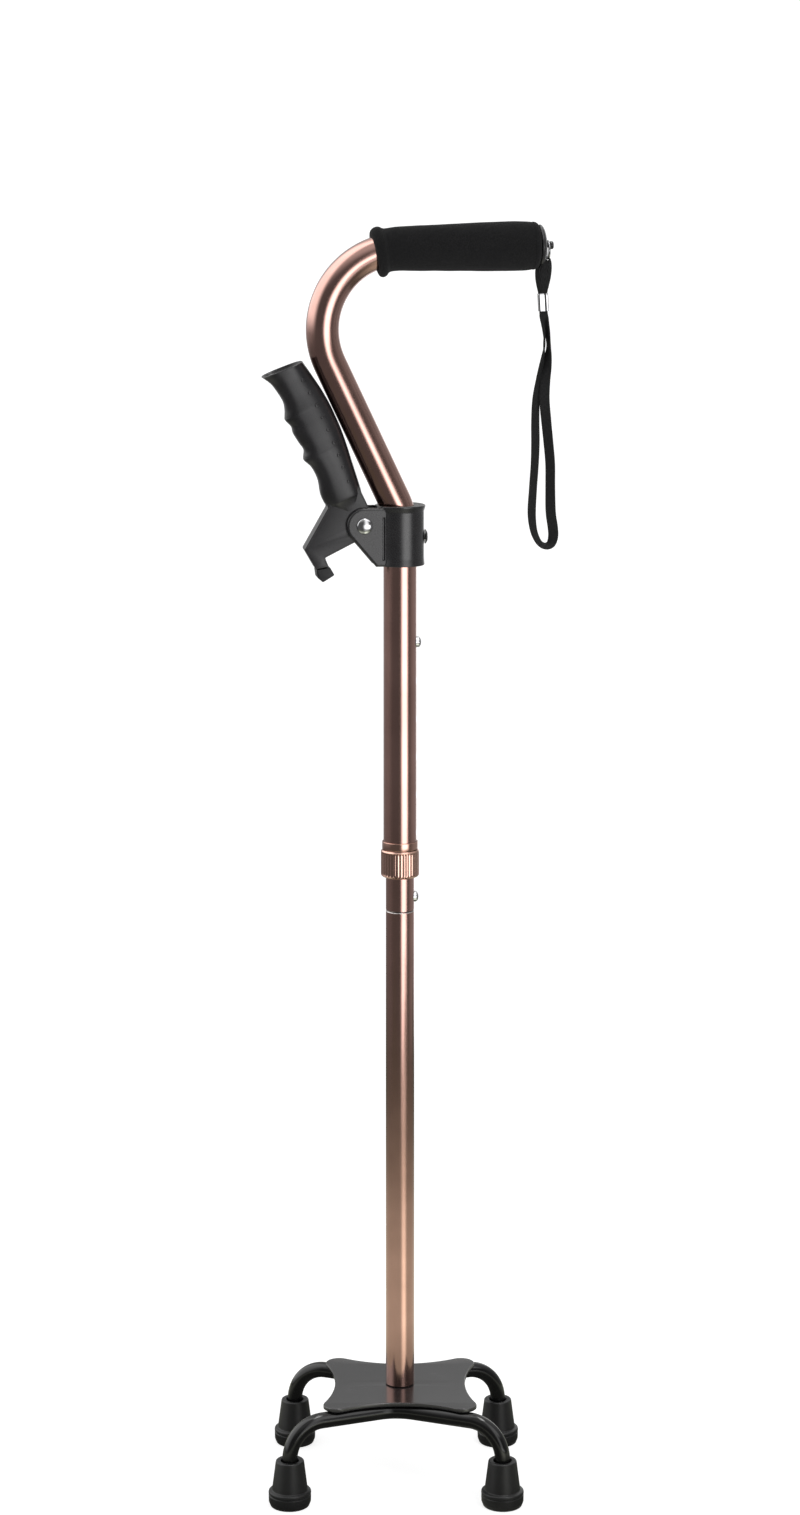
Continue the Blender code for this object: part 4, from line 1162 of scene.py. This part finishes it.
def add_ring():
    points = [(0, RING_RADIUS * math.cos(a), RING_RADIUS * math.sin(a)) for a in angles_round(72)]
    rings = rings_along(points, [RING_WIRE] * len(points), 20, closed=True)
    mesh = loft("strap_ring", rings, joined=True)
    add_piece("wire_ring", mesh, DARK_WIRE, ["strap_ring"], STEM @ Matrix.Translation(RING_CENTRE))


def ribbon(name, stations, steps):
    """Webbing through stations (x, y, z, lean, width share).

    A lean of 0 keeps the webbing in the loop's plane, and 90 degrees turns it edge-on.
    """
    rows = smooth_between(stations, steps)
    rings = []
    for i, row in enumerate(rows):
        centre = Vector(row[:3])
        tangent = Vector(rows[min(i + 1, len(rows) - 1)][:3]) - Vector(rows[max(i - 1, 0)][:3])
        tangent.normalize()
        inward = Vector((-tangent.z, 0, tangent.x)).normalized()
        lean = math.radians(row[3])
        across = inward * math.cos(lean) + Vector((0, math.sin(lean), 0))
        across = (across - tangent * across.dot(tangent)).normalized()
        facing = tangent.cross(across) * STRAP_THICKNESS / 2
        rings.append(webbing_section(centre, across * STRAP_WIDTH * row[4] / 2, facing))
    return loft(name, rings, caps=True)


def webbing_section(centre, across, facing):
    """A flat band with round edges, and a slightly fuller rib along each edge."""
    ring = []
    for angle in angles_round(28):
        out = squared(math.cos(angle), 0.5)
        up = squared(math.sin(angle), 0.35)
        rib = 1 + 0.10 * math.exp(-(((abs(out) - 0.86) / 0.07) ** 2))
        ring.append(centre + across * out + facing * up * rib)
    return ring


LOOP_STATIONS = (
    (0.0971, -0.0007, 0.7900, 0, 0.78),
    (0.0974, -0.0007, 0.7770, 0, 0.78),
    (0.0977, -0.0006, 0.7693, 48, 0.90),
    (0.0981, -0.0004, 0.7622, 72, 1.00),
    (0.0982, 0.0000, 0.7545, 84, 1.00),
    (0.0976, 0.0004, 0.7470, 66, 1.00),
    (0.0966, 0.0008, 0.7400, 52, 1.00),
    (0.0951, 0.0011, 0.7310, 42, 1.00),
    (0.0928, 0.0012, 0.7176, 38, 1.00),
    (0.0922, 0.0008, 0.7026, 32, 1.00),
    (0.0922, 0.0004, 0.6880, 30, 1.00),
    (0.0917, 0.0002, 0.6741, 34, 1.00),
    (0.0905, 0.0000, 0.6580, 34, 1.00),
    (0.0896, 0.0000, 0.6417, 32, 1.00),
    (0.0907, 0.0000, 0.6305, 42, 1.00),
    (0.0932, 0.0000, 0.6235, 52, 1.00),
    (0.0963, 0.0000, 0.6197, 60, 1.00),
    (0.1000, 0.0000, 0.6187, 60, 1.00),
    (0.1030, 0.0000, 0.6207, 46, 1.00),
    (0.1043, 0.0000, 0.6255, 26, 1.00),
    (0.1040, 0.0000, 0.6315, 14, 1.00),
    (0.1026, 0.0000, 0.6417, 20, 1.00),
    (0.1023, 0.0000, 0.6580, 34, 1.00),
    (0.1022, -0.0002, 0.6741, 34, 1.00),
    (0.1010, -0.0004, 0.6880, 32, 1.00),
    (0.0995, -0.0006, 0.7026, 26, 1.00),
    (0.0982, -0.0008, 0.7176, 8, 1.00),
    (0.0988, -0.0006, 0.7310, 24, 1.00),
    (0.1002, -0.0003, 0.7400, 48, 1.00),
    (0.1009, -0.0001, 0.7470, 64, 1.00),
    (0.1012, 0.0001, 0.7545, 82, 1.00),
    (0.1003, 0.0004, 0.7622, 70, 1.00),
    (0.0989, 0.0006, 0.7693, 46, 0.90),
    (0.0978, 0.0007, 0.7770, 0, 0.78),
    (0.0973, 0.0007, 0.7900, 0, 0.78),
)

FOLD_SECTIONS = (
    (0.0972, 0.7860, 0.0031, 0.0021),
    (0.0971, 0.7895, 0.0032, 0.0022),
    (0.0971, 0.7940, 0.0042, 0.0026),
    (0.0973, 0.7990, 0.0052, 0.0029),
    (0.0976, 0.8040, 0.0056, 0.0030),
    (0.0980, 0.8075, 0.0053, 0.0029),
    (0.0987, 0.8105, 0.0043, 0.0027),
    (0.0994, 0.8128, 0.0028, 0.0023),
    (0.0997, 0.8138, 0.0012, 0.0014),
)


def add_strap():
    """The loop below the crimp, and the gathered fold above it that holds the ring."""
    mesh = merged("wrist_strap", [ribbon("loop", LOOP_STATIONS, 8), strap_fold()])
    add_piece("webbing_loop", mesh, WEBBING, ["wrist_strap"], sharp=60)


def strap_fold():
    """Pleated webbing that widens from the crimp and closes round the ring's wire."""
    rings = []
    for x, z, half_x, half_y in smooth_between(FOLD_SECTIONS, 8):
        ring = []
        for angle in angles_round(96):
            out = squared(math.cos(angle), 0.75)
            up = squared(math.sin(angle), 0.75)
            phase = 2 * math.pi * (3.5 * out + 0.3 * math.sin(z * 900))
            pleat = 1 - PLEAT_DEPTH * (0.5 - 0.5 * math.cos(phase))
            ring.append((x + half_x * out, half_y * up * pleat, z))
        rings.append(ring)
    fold = loft("fold", rings, caps=True)
    low = RING_CENTRE.z - RING_RADIUS
    eye = rod(STRAP_EYE, -OVERSHOOT, OVERSHOOT)
    placed(eye, UPRIGHT, Matrix.Translation((RING_CENTRE.x, 0, low)))
    return combined(fold, [eye])


def crimp_outline():
    """A rounded oblong, with points close enough together for the creases."""
    half_x, half_y = CRIMP_HALF
    signs = ((-1, -1), (1, -1), (1, 1), (-1, 1))
    outline = rounded([(sx * half_x, sy * half_y, CRIMP_CORNER) for sx, sy in signs])
    dense = []
    for a, b in zip(outline, outline[1:] + outline[:1]):
        pieces = max(1, round((Vector(b) - Vector(a)).length / 0.0003))
        dense += [tuple(Vector(a).lerp(Vector(b), i / pieces)) for i in range(pieces)]
    return dense


def crimp_ring(outline, height, inset_by):
    """The crimp's outline at a height, creased on both faces and drawn in at its two ends."""
    half_x, half_y = CRIMP_HALF
    end = min(height - CRIMP_LOW, CRIMP_TOP - height) / CRIMP_END
    flare = CRIMP_FLARE * max(0, 1 - end)
    points = []
    for x, y in outline:
        press = CREASE_DEPTH * math.exp(-(((x - CREASE_X) / CREASE_DEPTH) ** 2))
        shrink = 1 - (inset_by + flare) / half_x
        squeeze = 1 - (inset_by + flare + press) / half_y
        points.append((x * shrink, y * squeeze, height))
    return points


def add_crimp():
    """A sleeve of folded sheet with a pressed crease down each face."""
    outline = crimp_outline()
    heights = spread(CRIMP_LOW, CRIMP_TOP, 24)
    rings = [crimp_ring(outline, height, 0) for height in heights]
    rings += [crimp_ring(outline, height, CRIMP_WALL) for height in reversed(heights)]
    middle = Matrix.Translation((0, 0, (CRIMP_LOW + CRIMP_TOP) / 2))
    slanted = middle @ Matrix.Rotation(CRIMP_LEAN, 4, "Y") @ middle.inverted()
    place = STEM @ Matrix.Translation((CRIMP_X, 0, 0)) @ slanted
    mesh = loft("strap_crimp", rings, joined=True)
    add_piece("pressed_crimp", mesh, CHROME, ["strap_crimp"], place)


# Bracket and lever


def cheek_outline():
    """From the ring out round the pivot, and back along a hollow line to the bracket's foot."""
    pivot = Vector((PIVOT.x, PIVOT.z))
    foot = Vector((CHEEK_FOOT_X, BRACKET_LOW)) - pivot
    tangent = math.atan2(foot.y, foot.x) - math.acos(CHEEK_ROUND / foot.length)
    round_end = arc(pivot, CHEEK_ROUND, math.pi / 2, tangent + 2 * math.pi)
    top = PIVOT.z + CHEEK_ROUND
    return [(0, top)] + round_end + [(CHEEK_FOOT_X, BRACKET_LOW), (0, BRACKET_LOW)]


def bracket_body():
    profile = rounded([
        (0, BRACKET_TOP),
        (FLANGE_RADIUS - 0.0012, BRACKET_TOP, 0.0003),
        (FLANGE_RADIUS, BRACKET_TOP - 0.0005, 0.0005),
        (FLANGE_RADIUS - 0.0002, BRACKET_TOP - 0.0016, 0.0004),
        (BRACKET_RADIUS, BRACKET_TOP - 0.0044, 0.0030),
        (BRACKET_RADIUS, BRACKET_LOW + 0.0050, 0.0100),
        (BRACKET_RADIUS + 0.0004, BRACKET_LOW, 0.0004),
        (0, BRACKET_LOW),
    ], closed=False)
    return turned("clamp_bracket", profile, TUBE_SIDES, joined=False)


def tube_clearance():
    path = handle_path(TUBE_END_X, HANDLE_LOW)
    return loft("clearance", rings_along(path, [UPPER_RADIUS + GAP] * len(path), TUBE_SIDES), caps=True)


def across_stem(radius, reach):
    """A cutter along Y through the pivot."""
    bar = rod(radius, -reach, reach)
    return placed(bar, UPRIGHT, Matrix.Translation(PIVOT))


def face_grooves():
    """The upright groove in each cheek's root, as cutters with round ends."""
    x, low, high, half = -0.0127, 0.6130, 0.6402, 0.0008
    step = math.radians(20)
    outline = arc((x, high), half, 0, math.pi, step) + arc((x, low), half, math.pi, 2 * math.pi, step)
    grooves = []
    for side in (-1, 1):
        groove = flat("groove", [outline], 0.0040, 0.0002)
        groove.transform(Matrix.Translation((0, side * (CHEEK_Y[1] + 0.0030), 0)))
        grooves.append(groove)
    return grooves


def mouth():
    """The flared inside of the bracket's top, as a cutter."""
    widths = (
        (0, 0.0010),
        (0.0152, 0.0010),
        (0.0146, -0.0006),
        (0.0126, -0.0030),
        (0.0114, -0.0045),
        (0, -0.0045),
    )
    profile = [(radius, BRACKET_TOP + rise) for radius, rise in widths]
    cutter = turned("mouth", profile, TUBE_SIDES, joined=False)
    return placed(cutter, Matrix.Translation((MOUTH_X, 0, 0)))


def add_bracket():
    cheeks = flat("cheeks", [cheek_outline()], CHEEK_Y[1], 0.0015)
    solid = combined(bracket_body(), [cheeks], "UNION")
    reach = PIVOT.x - CHEEK_ROUND - OVERSHOOT
    slot = block(
        (reach, -CHEEK_Y[0], BRACKET_LOW - OVERSHOOT),
        (SLOT_END_X, CHEEK_Y[0], BRACKET_TOP + OVERSHOOT),
    )
    cutters = [slot, tube_clearance(), mouth(), across_stem(RIVET_HOLE, CHEEK_Y[1] + OVERSHOOT)]
    cutters += [*face_grooves(), side_hole(SCREW_HOLE, SCREW_Z)]
    mesh = softened(combined(solid, cutters), BRACKET_VOXEL, 3)
    add_piece("moulded_bracket", mesh, NYLON, ["clamp_bracket"], sharp=180)


def add_screw():
    """The bracket's cap screw, with a hexagon socket."""
    head_low = BRACKET_RADIUS + 0.0004 + GAP
    head_top, head, shank, tip = head_low + 0.0015, 0.0048, 0.0020, 0.0085
    profile = rounded([
        (0, head_top),
        (0.0034, head_top, 0.0010),
        (head, head_low + 0.0005, 0.0004),
        (head, head_low),
        (shank, head_low),
        (shank, tip),
        (0, tip),
    ], closed=False)
    screw = turned("bracket_screw", profile, ROD_SIDES, joined=False)
    screw = combined(screw, [rod(0.0017, head_low + 0.003, head_low + 0.0003, 6)])
    placed(screw, ALONG_X, Matrix.Translation((0, 0, SCREW_Z)))
    add_piece("socket_screw", screw, GLOSS_PAINT, ["bracket_screw"])


def add_rivet():
    """The pivot rivet: a domed head in front, and a flattened tail over a washer behind."""
    across = PIVOT_PLACE @ UPRIGHT
    face = CHEEK_Y[1] + GAP
    washer_low = -face - WASHER_THICKNESS
    tail = washer_low - GAP
    dome = [
        (RIVET_HEAD * math.sin(a), face + 0.0004 + 0.0019 * math.cos(a))
        for a in spread(0, math.pi / 2, 10)
    ]
    flattened = [(RIVET_RADIUS, tail), (0.0045, tail), (0.0042, tail - 0.0012, 0.0008), (0, tail - 0.0012)]
    rivet = [*dome, (RIVET_HEAD, face), (RIVET_RADIUS, face), *rounded(flattened, closed=False)]
    mesh = turned("pivot_rivet", rivet, 64, joined=False)
    add_piece("domed_rivet", mesh, CHROME, ["pivot_rivet"], across)
    washer = rounded([
        (0.0058, washer_low + WASHER_THICKNESS, 0.0003),
        (0.0058, washer_low, 0.0003),
        (RIVET_HOLE, washer_low),
        (RIVET_HOLE, washer_low + WASHER_THICKNESS),
    ])
    mesh = turned("rivet_washer", washer, 64)
    add_piece("plated_rivet_washer", mesh, CHROME, ["rivet_washer"], across)


def on_lever_grip(along, forward):
    """A point of the lever grip's own lean, from the pivot: along the grip and to its front."""
    up = Vector((-math.sin(LEVER_GRIP_LEAN), math.cos(LEVER_GRIP_LEAN)))
    front = Vector((-math.cos(LEVER_GRIP_LEAN), -math.sin(LEVER_GRIP_LEAN)))
    return LEVER_GRIP_FOOT + up * along + front * forward


def lever_corners():
    """The lever plate's outline from the pivot: under the grip, down the jaw and round the hub."""
    hub = arc((0, 0), 0.0086, -math.pi / 2, 0, math.radians(10))
    return [
        (*on_lever_grip(0.004, 0.0105), 0.002),
        (*on_lever_grip(-0.001, 0.0113), 0.003),
        (-0.0397, -0.0155, 0.0012),
        (-0.0319, -0.0289, 0.0008),
        (-0.0234, -0.0274, 0.0008),
        (-0.0259, -0.0213, 0.0008),
        (-0.0062, -0.0114, 0.0015),
        *hub,
        (0.0070, 0.0055, 0.002),
        (0.0038, 0.0111, 0.002),
        (*on_lever_grip(0.004, -0.0130), 0.002),
    ]


def inset(corners, distance):
    """The corners moved so that every side lies this far inside the old one."""
    points = [Vector(corner[:2]) for corner in corners]
    following = points[1:] + points[:1]
    turn = math.copysign(1, sum(a.cross(b) for a, b in zip(points, following)))
    moved = []
    for corner, before, point, after in zip(corners, points[-1:] + points, points, following):
        run, leave = (point - before).normalized(), (after - point).normalized()
        inward = Vector((-run.y, run.x)) * turn
        middle = (inward + Vector((-leave.y, leave.x)) * turn).normalized()
        moved.append((*(point + middle * distance / middle.dot(inward)), *corner[2:]))
    return moved


def add_lever():
    """A plate whose two faces stand a little proud of a rim that runs round it."""
    hole = arc((0, 0), RIVET_HOLE, 0, 2 * math.pi, math.radians(10))[:-1]
    plate = flat("assist_lever", [rounded(lever_corners()), hole], LEVER_HALF_WIDTH - LEVER_STEP, 0.0006)
    face = flat("face", [rounded(inset(lever_corners(), LEVER_RIM)), hole], LEVER_HALF_WIDTH, 0.0003)
    plate = combined(plate, [face], "UNION")
    add_piece("moulded_lever_plate", plate, GRIP_PLASTIC, ["assist_lever"], PIVOT_PLACE)


def lever_sections():
    """The grip's (along, front depth, back depth, half-width): a skirt, finger bumps and a pommel."""
    skirt = [
        (-0.0100, 0.0012, 0.0118, 0.0079),
        (-0.0060, 0.0062, 0.0126, 0.0086),
        (-0.0025, 0.0100, 0.0134, 0.0096),
    ]
    fingers = [
        (0.0000, 0.0117, 0.0140, 0.0105),
        (0.0080, 0.0119, 0.0151, 0.0112),
        (0.0180, 0.0094, 0.0163, 0.0116),
        (0.0270, 0.0097, 0.0175, 0.0120),
        (0.0332, 0.0122, 0.0182, 0.0124),
        (0.0355, 0.0118, 0.0184, 0.0124),
        (0.0400, 0.0095, 0.0188, 0.0124),
        (0.0455, 0.0104, 0.0191, 0.0125),
        (0.0530, 0.0113, 0.0192, 0.0125),
        (0.0575, 0.0106, 0.0192, 0.0124),
        (0.0630, 0.0124, 0.0190, 0.0123),
        (0.0652, 0.0118, 0.0188, 0.0123),
        (0.0700, 0.0096, 0.0184, 0.0121),
        (0.0760, 0.0085, 0.0176, 0.0120),
    ]
    pommel = [
        (0.0860, 0.0102, 0.0159, 0.0122),
        (0.0915, 0.0134, 0.0148, 0.0128),
        (0.0932, 0.0146, 0.0146, 0.0130),
    ]
    return skirt + fingers + pommel


def grip_section(along, front, back, half_width):
    """A rounded section of the grip, a little squarer in front than behind."""
    ring = []
    for angle in angles_round(56):
        reach, square = (front, 0.72) if math.cos(angle) > 0 else (back, 0.76)
        depth = squared(math.cos(angle), square) * reach
        place = on_lever_grip(along + pommel_rise(along) * (0.0017 + 0.065 * depth), depth)
        ring.append((place.x, half_width * squared(math.sin(angle), square), place.y))
    return ring


def pommel_rise(along):
    """0 on the grip and 1 at its top, whose front stands higher than its back."""
    share = min(1, max(0, (along - 0.0800) / 0.0132))
    return share * share * (3 - 2 * share)


def add_lever_grip():
    """The ribbed grip: a skirt that runs into the plate, finger bumps, and a hollow pommel."""
    rows = smooth_between(lever_sections(), 7)
    rings = [grip_section(*row) for row in rows]
    top, *depths = rows[-1]
    for rise, share in POMMEL_RIM:
        rings.append(grip_section(top + rise, *scaled(depths, share)))
    mesh = loft("assist_grip", rings, caps=True)
    add_piece("finger_grip", mesh, GRIP_PLASTIC, ["assist_grip"], PIVOT_PLACE, sharp=60)
    add_studs(rows)


def add_studs(rows):
    """A row of small round studs along the back of each side."""
    dome = [(0, 0.00065), (0.0011, 0.00050, 0.0004), (0.0015, -0.0006), (0, -0.0006)]
    profile = rounded(dome, closed=False)
    studs = []
    for i in range(9):
        along = 0.0100 + 0.0091 * i
        row = min(rows, key=lambda station: abs(station[0] - along))
        ring = grip_section(*row)
        for side in (-1, 1):
            angle = math.radians(180 - side * 63)
            k = round(angle / (2 * math.pi) * len(ring)) % len(ring)
            centre = Vector(ring[k])
            before, after = Vector(ring[k - 1]), Vector(ring[(k + 1) % len(ring)])
            lean = on_lever_grip(1, 0) - on_lever_grip(0, 0)
            out = (after - before).cross(Vector((lean.x, 0, lean.y))).normalized()
            middle = on_lever_grip(row[0], 0)
            if out.dot(centre - Vector((middle.x, 0, middle.y))) < 0:
                out = -out
            stud = turned("stud", profile, 20, joined=False)
            facing = out.to_track_quat("Z", "Y").to_matrix().to_4x4()
            studs.append(placed(stud, Matrix.Translation(centre) @ facing))
    add_detail("grip_studs", merged("studs", studs), GRIP_PLASTIC, "assist_grip", PIVOT_PLACE)


def add_jaw_pad():
    """The rubber block at the jaw, hollowed where it meets the tube with the lever swung out."""
    outline = rounded([
        (-0.0317, -0.0293, 0.0004),
        (-0.0309, -0.0345, 0.0010),
        (-0.0272, -0.0377, 0.0010),
        (-0.0192, -0.0335, 0.0010),
        (-0.0226, -0.0277, 0.0004),
    ])
    pad = flat("jaw_pad", [outline], LEVER_HALF_WIDTH, 0.0007)
    reach = abs(PIVOT.x)
    saddle = rod(UPPER_RADIUS + GAP, -3 * reach, 3 * reach, TUBE_SIDES)
    placed(
        saddle,
        Matrix.Rotation(LEVER_SWING, 4, "Y"),
        Matrix.Translation((reach * math.cos(LEVER_SWING), 0, -reach * math.sin(LEVER_SWING))),
    )
    add_piece("rubber_jaw_pad", combined(pad, [saddle]), RUBBER, ["jaw_pad"], PIVOT_PLACE)


# Nodes that stay as they are, inside the tubes and under the plate

KEPT = {
    "base_bolt": CHROME,
    "base_washer": CHROME,
    "base_plug": WHITE_NYLON,
    "joint_sleeve": CHROME,
    **{f"tip_washer_{place}": CHROME for place in TIP_PLACES},
}


def finish_kept_nodes():
    for name, look in KEPT.items():
        mesh = frame["nodes"][name].data
        mesh.materials.clear()
        mesh.materials.append(look)


# Studio


CAMERA_DISTANCE = 2.266
CAMERA_HEIGHT = 0.893
CAMERA_AIM_Z = 0.4787
CAMERA_LENS = 81.7
FLOOR_SIZE = 60
FLOOR_GLOW = 0.95
FLOOR_KEY = 2.0
FLOOR_GLOW_TINT = (0.98, 1.0, 0.83)
FLOOR_GLOW_REACH = (0.12, 0.30, 0.95)
FLOOR_WHITE = 0.78
ROOM_GREY = 0.17
MATT_LIGHT = 0.55
BACKDROP = 1.12
SOFTBOXES = {
    "key_softbox": ((1.2, -1.6, 1.6), 22),
    "fill_softbox": ((-1.6, -0.8, 1.5), 4),
}
SOFTBOX_SIZE = (1.2, 1.6)
SOFTBOX_AIM = Vector((0, 0, 0.45))


def add_camera():
    """Looks down at the cane while its picture plane stays upright, so the stem doesn't taper.

    The lean is in the matrix that ties the camera to its stand, so a free camera is a plain one.
    """
    data = bpy.data.cameras.new("camera")
    data.lens = CAMERA_LENS
    data.clip_end = 4 * FLOOR_SIZE
    stand = linked("camera_stand", None)
    camera = linked("camera", data)
    place = Vector((BASE.translation.x, -CAMERA_DISTANCE, CAMERA_HEIGHT))
    back = (place - Vector((place.x, 0, CAMERA_AIM_Z))).normalized()
    camera.parent = stand
    camera.matrix_parent_inverse = Matrix((
        (1, 0, back.x, place.x),
        (0, 0, back.y, place.y),
        (0, 1, back.z, place.z),
        (0, 0, 0, 1),
    ))
    bpy.context.scene.camera = camera


def add_floor():
    """A white floor, and under it the bright patch round the cane that only shiny surfaces see."""
    floor_look = Look("floor")
    floor_look.finish(
        Base_Color=(0.50, 0.50, 0.50),
        Roughness=0.9,
        Specular_IOR_Level=0.1,
        Emission_Color=(1.0, 1.0, 1.0),
        Emission_Strength=FLOOR_WHITE,
    )
    floor = add_sheet("floor", FLOOR_SIZE, -0.0002, floor_look.material)
    floor.visible_glossy = False
    glow = Look("lit_patch")
    away = glow.node("VectorMath", {0: glow.place()}, operation="LENGTH").outputs["Value"]
    where = glow.node("SeparateXYZ", {"Vector": glow.place()}).outputs
    ahead = band(glow, bearing(glow, where), 2, 58, 24)
    lit = glow.sum(glow.times(ahead, FLOOR_KEY), 1.0)
    near, middle, far = FLOOR_GLOW_REACH
    inner = glow.fit(away, near, middle, 0.12, FLOOR_GLOW, True)
    outer = glow.fit(away, middle, far, FLOOR_GLOW, 0.17, True)
    glow.finish(
        Base_Color=(0.0, 0.0, 0.0),
        Roughness=1.0,
        Specular_IOR_Level=0.0,
        Emission_Color=FLOOR_GLOW_TINT,
        Emission_Strength=glow.times(glow.sum(inner, outer, "MINIMUM"), lit),
    )
    patch = add_sheet("lit_patch", 2.2 * far, -0.0010, glow.material)
    patch.visible_camera = patch.visible_diffuse = patch.visible_shadow = False


def add_sheet(name, size, height, look):
    bm = bmesh.new()
    bmesh.ops.create_grid(bm, x_segments=1, y_segments=1, size=size / 2)
    mesh = plain_mesh(name, bm)
    mesh.materials.append(look)
    sheet = linked(name, mesh)
    sheet.location.z = height
    return sheet


def bearing(look, where):
    """The angle round Z, from the front and positive to the right."""
    return look.sum(where["X"], look.times(where["Y"], -1.0), "ARCTAN2")


def band(look, around, start, end, soft):
    """1 between two bearings in degrees and 0 outside them, with soft edges."""
    rise = look.fit(around, math.radians(start), math.radians(start + soft), 0.0, 1.0, True)
    fall = look.fit(around, math.radians(end - soft), math.radians(end), 1.0, 0.0, True)
    return look.times(rise, fall)


def total(look, first, *others):
    for other in others:
        first = look.sum(first, other)
    return first


def grey_room(sky, around, where):
    """The walls and the ceiling that shiny surfaces see: dim, and brighter high on the left."""
    up = where["Z"]
    behind = sky.sum(around, 0, "ABSOLUTE")
    behind = sky.fit(behind, math.radians(120), math.radians(165), 0.0, 0.14, True)
    left_side = sky.fit(around, math.radians(-50), math.radians(-95), 0.0, 1.0, True)
    left_low = sky.fit(up, -0.26, -0.14, 0.02, 0.22)
    left_high = sky.times(band(sky, around, -160, -40, 35), sky.fit(up, -0.11, 0.16, 0.0, 2.2, True))
    left_wall = sky.sum(sky.times(left_side, left_low), left_high)
    right_wall = sky.fit(around, math.radians(56), math.radians(110), 0.0, 0.28, True)
    ceiling = sky.fit(up, 0.30, 0.85, 0.0, 0.8, True)
    overhead = sky.fit(up, 0.955, 0.975, 0.0, 14.0, True)
    overhead = sky.times(overhead, sky.fit(where["X"], -0.02, 0.12, 0.05, 1.0))
    return total(sky, left_wall, right_wall, behind, ROOM_GREY, sky.sum(ceiling, overhead))


def strip_lights(sky, around, up):
    """The strips in front that draw the bright line down the tubes, and a thin one behind."""
    low_key = sky.times(band(sky, around, 1, 64, 24), sky.fit(up, -0.36, -0.22, 1.4, 5.2, True))
    low_key = sky.times(low_key, sky.fit(up, -0.02, 0.06, 1.0, 0.0, True))
    high_key = sky.times(band(sky, around, 3, 50, 22), sky.fit(up, -0.02, 0.06, 0.0, 2.5, True))
    top_key = sky.times(band(sky, around, 0, 90, 30), sky.fit(up, 0.40, 0.60, 0.0, 3.0, True))
    back_key = sky.times(band(sky, around, 148, 172, 6), 1.6)
    return sky.sum(sky.sum(low_key, high_key), sky.sum(top_key, back_key), "MAXIMUM")


def add_surroundings():
    """White to the camera. Shiny surfaces see strip lights in a grey room, matt ones its average."""
    world = bpy.data.worlds.new("studio")
    bpy.context.scene.world = world
    world.use_nodes = True
    sky = Look("studio", world.node_tree)
    where = sky.node("SeparateXYZ", {"Vector": sky.node("TexCoord").outputs["Generated"]}).outputs
    around = bearing(sky, where)
    room = grey_room(sky, around, where)
    seen = sky.sum(room, strip_lights(sky, around, where["Z"]), "MAXIMUM")
    rays = sky.node("LightPath").outputs
    matt = sky.fit(rays["Is Camera Ray"], 0.0, 1.0, MATT_LIGHT, BACKDROP)
    strength = sky.node("Mix", data_type="FLOAT")
    sky.set(strength.inputs[0], rays["Is Glossy Ray"])
    sky.set(strength.inputs[2], matt)
    sky.set(strength.inputs[3], seen)
    background = world.node_tree.nodes["Background"]
    sky.set(background.inputs["Color"], (1.0, 1.0, 1.0))
    sky.set(background.inputs["Strength"], strength.outputs[0])


def add_softboxes():
    for name, (place, power) in SOFTBOXES.items():
        data = bpy.data.lights.new(name, "AREA")
        data.shape = "RECTANGLE"
        data.size, data.size_y = SOFTBOX_SIZE
        data.energy = power
        light = linked(name, data)
        light.location = place
        light.rotation_euler = (SOFTBOX_AIM - Vector(place)).to_track_quat("-Z", "Y").to_euler()
        light.visible_glossy = False
        light.visible_camera = False


def add_studio():
    add_floor()
    add_camera()
    add_surroundings()
    add_softboxes()
    bpy.context.scene.view_settings.view_transform = "Standard"


add_plate()
add_legs()
add_tips()
add_tubes()
add_buttons()
add_springs()
add_handle_tube()
add_collar()
add_foam_grip()
add_end_cap()
add_ring()
add_strap()
add_crimp()
add_bracket()
add_screw()
add_rivet()
add_lever()
add_lever_grip()
add_jaw_pad()
finish_kept_nodes()
add_studio()
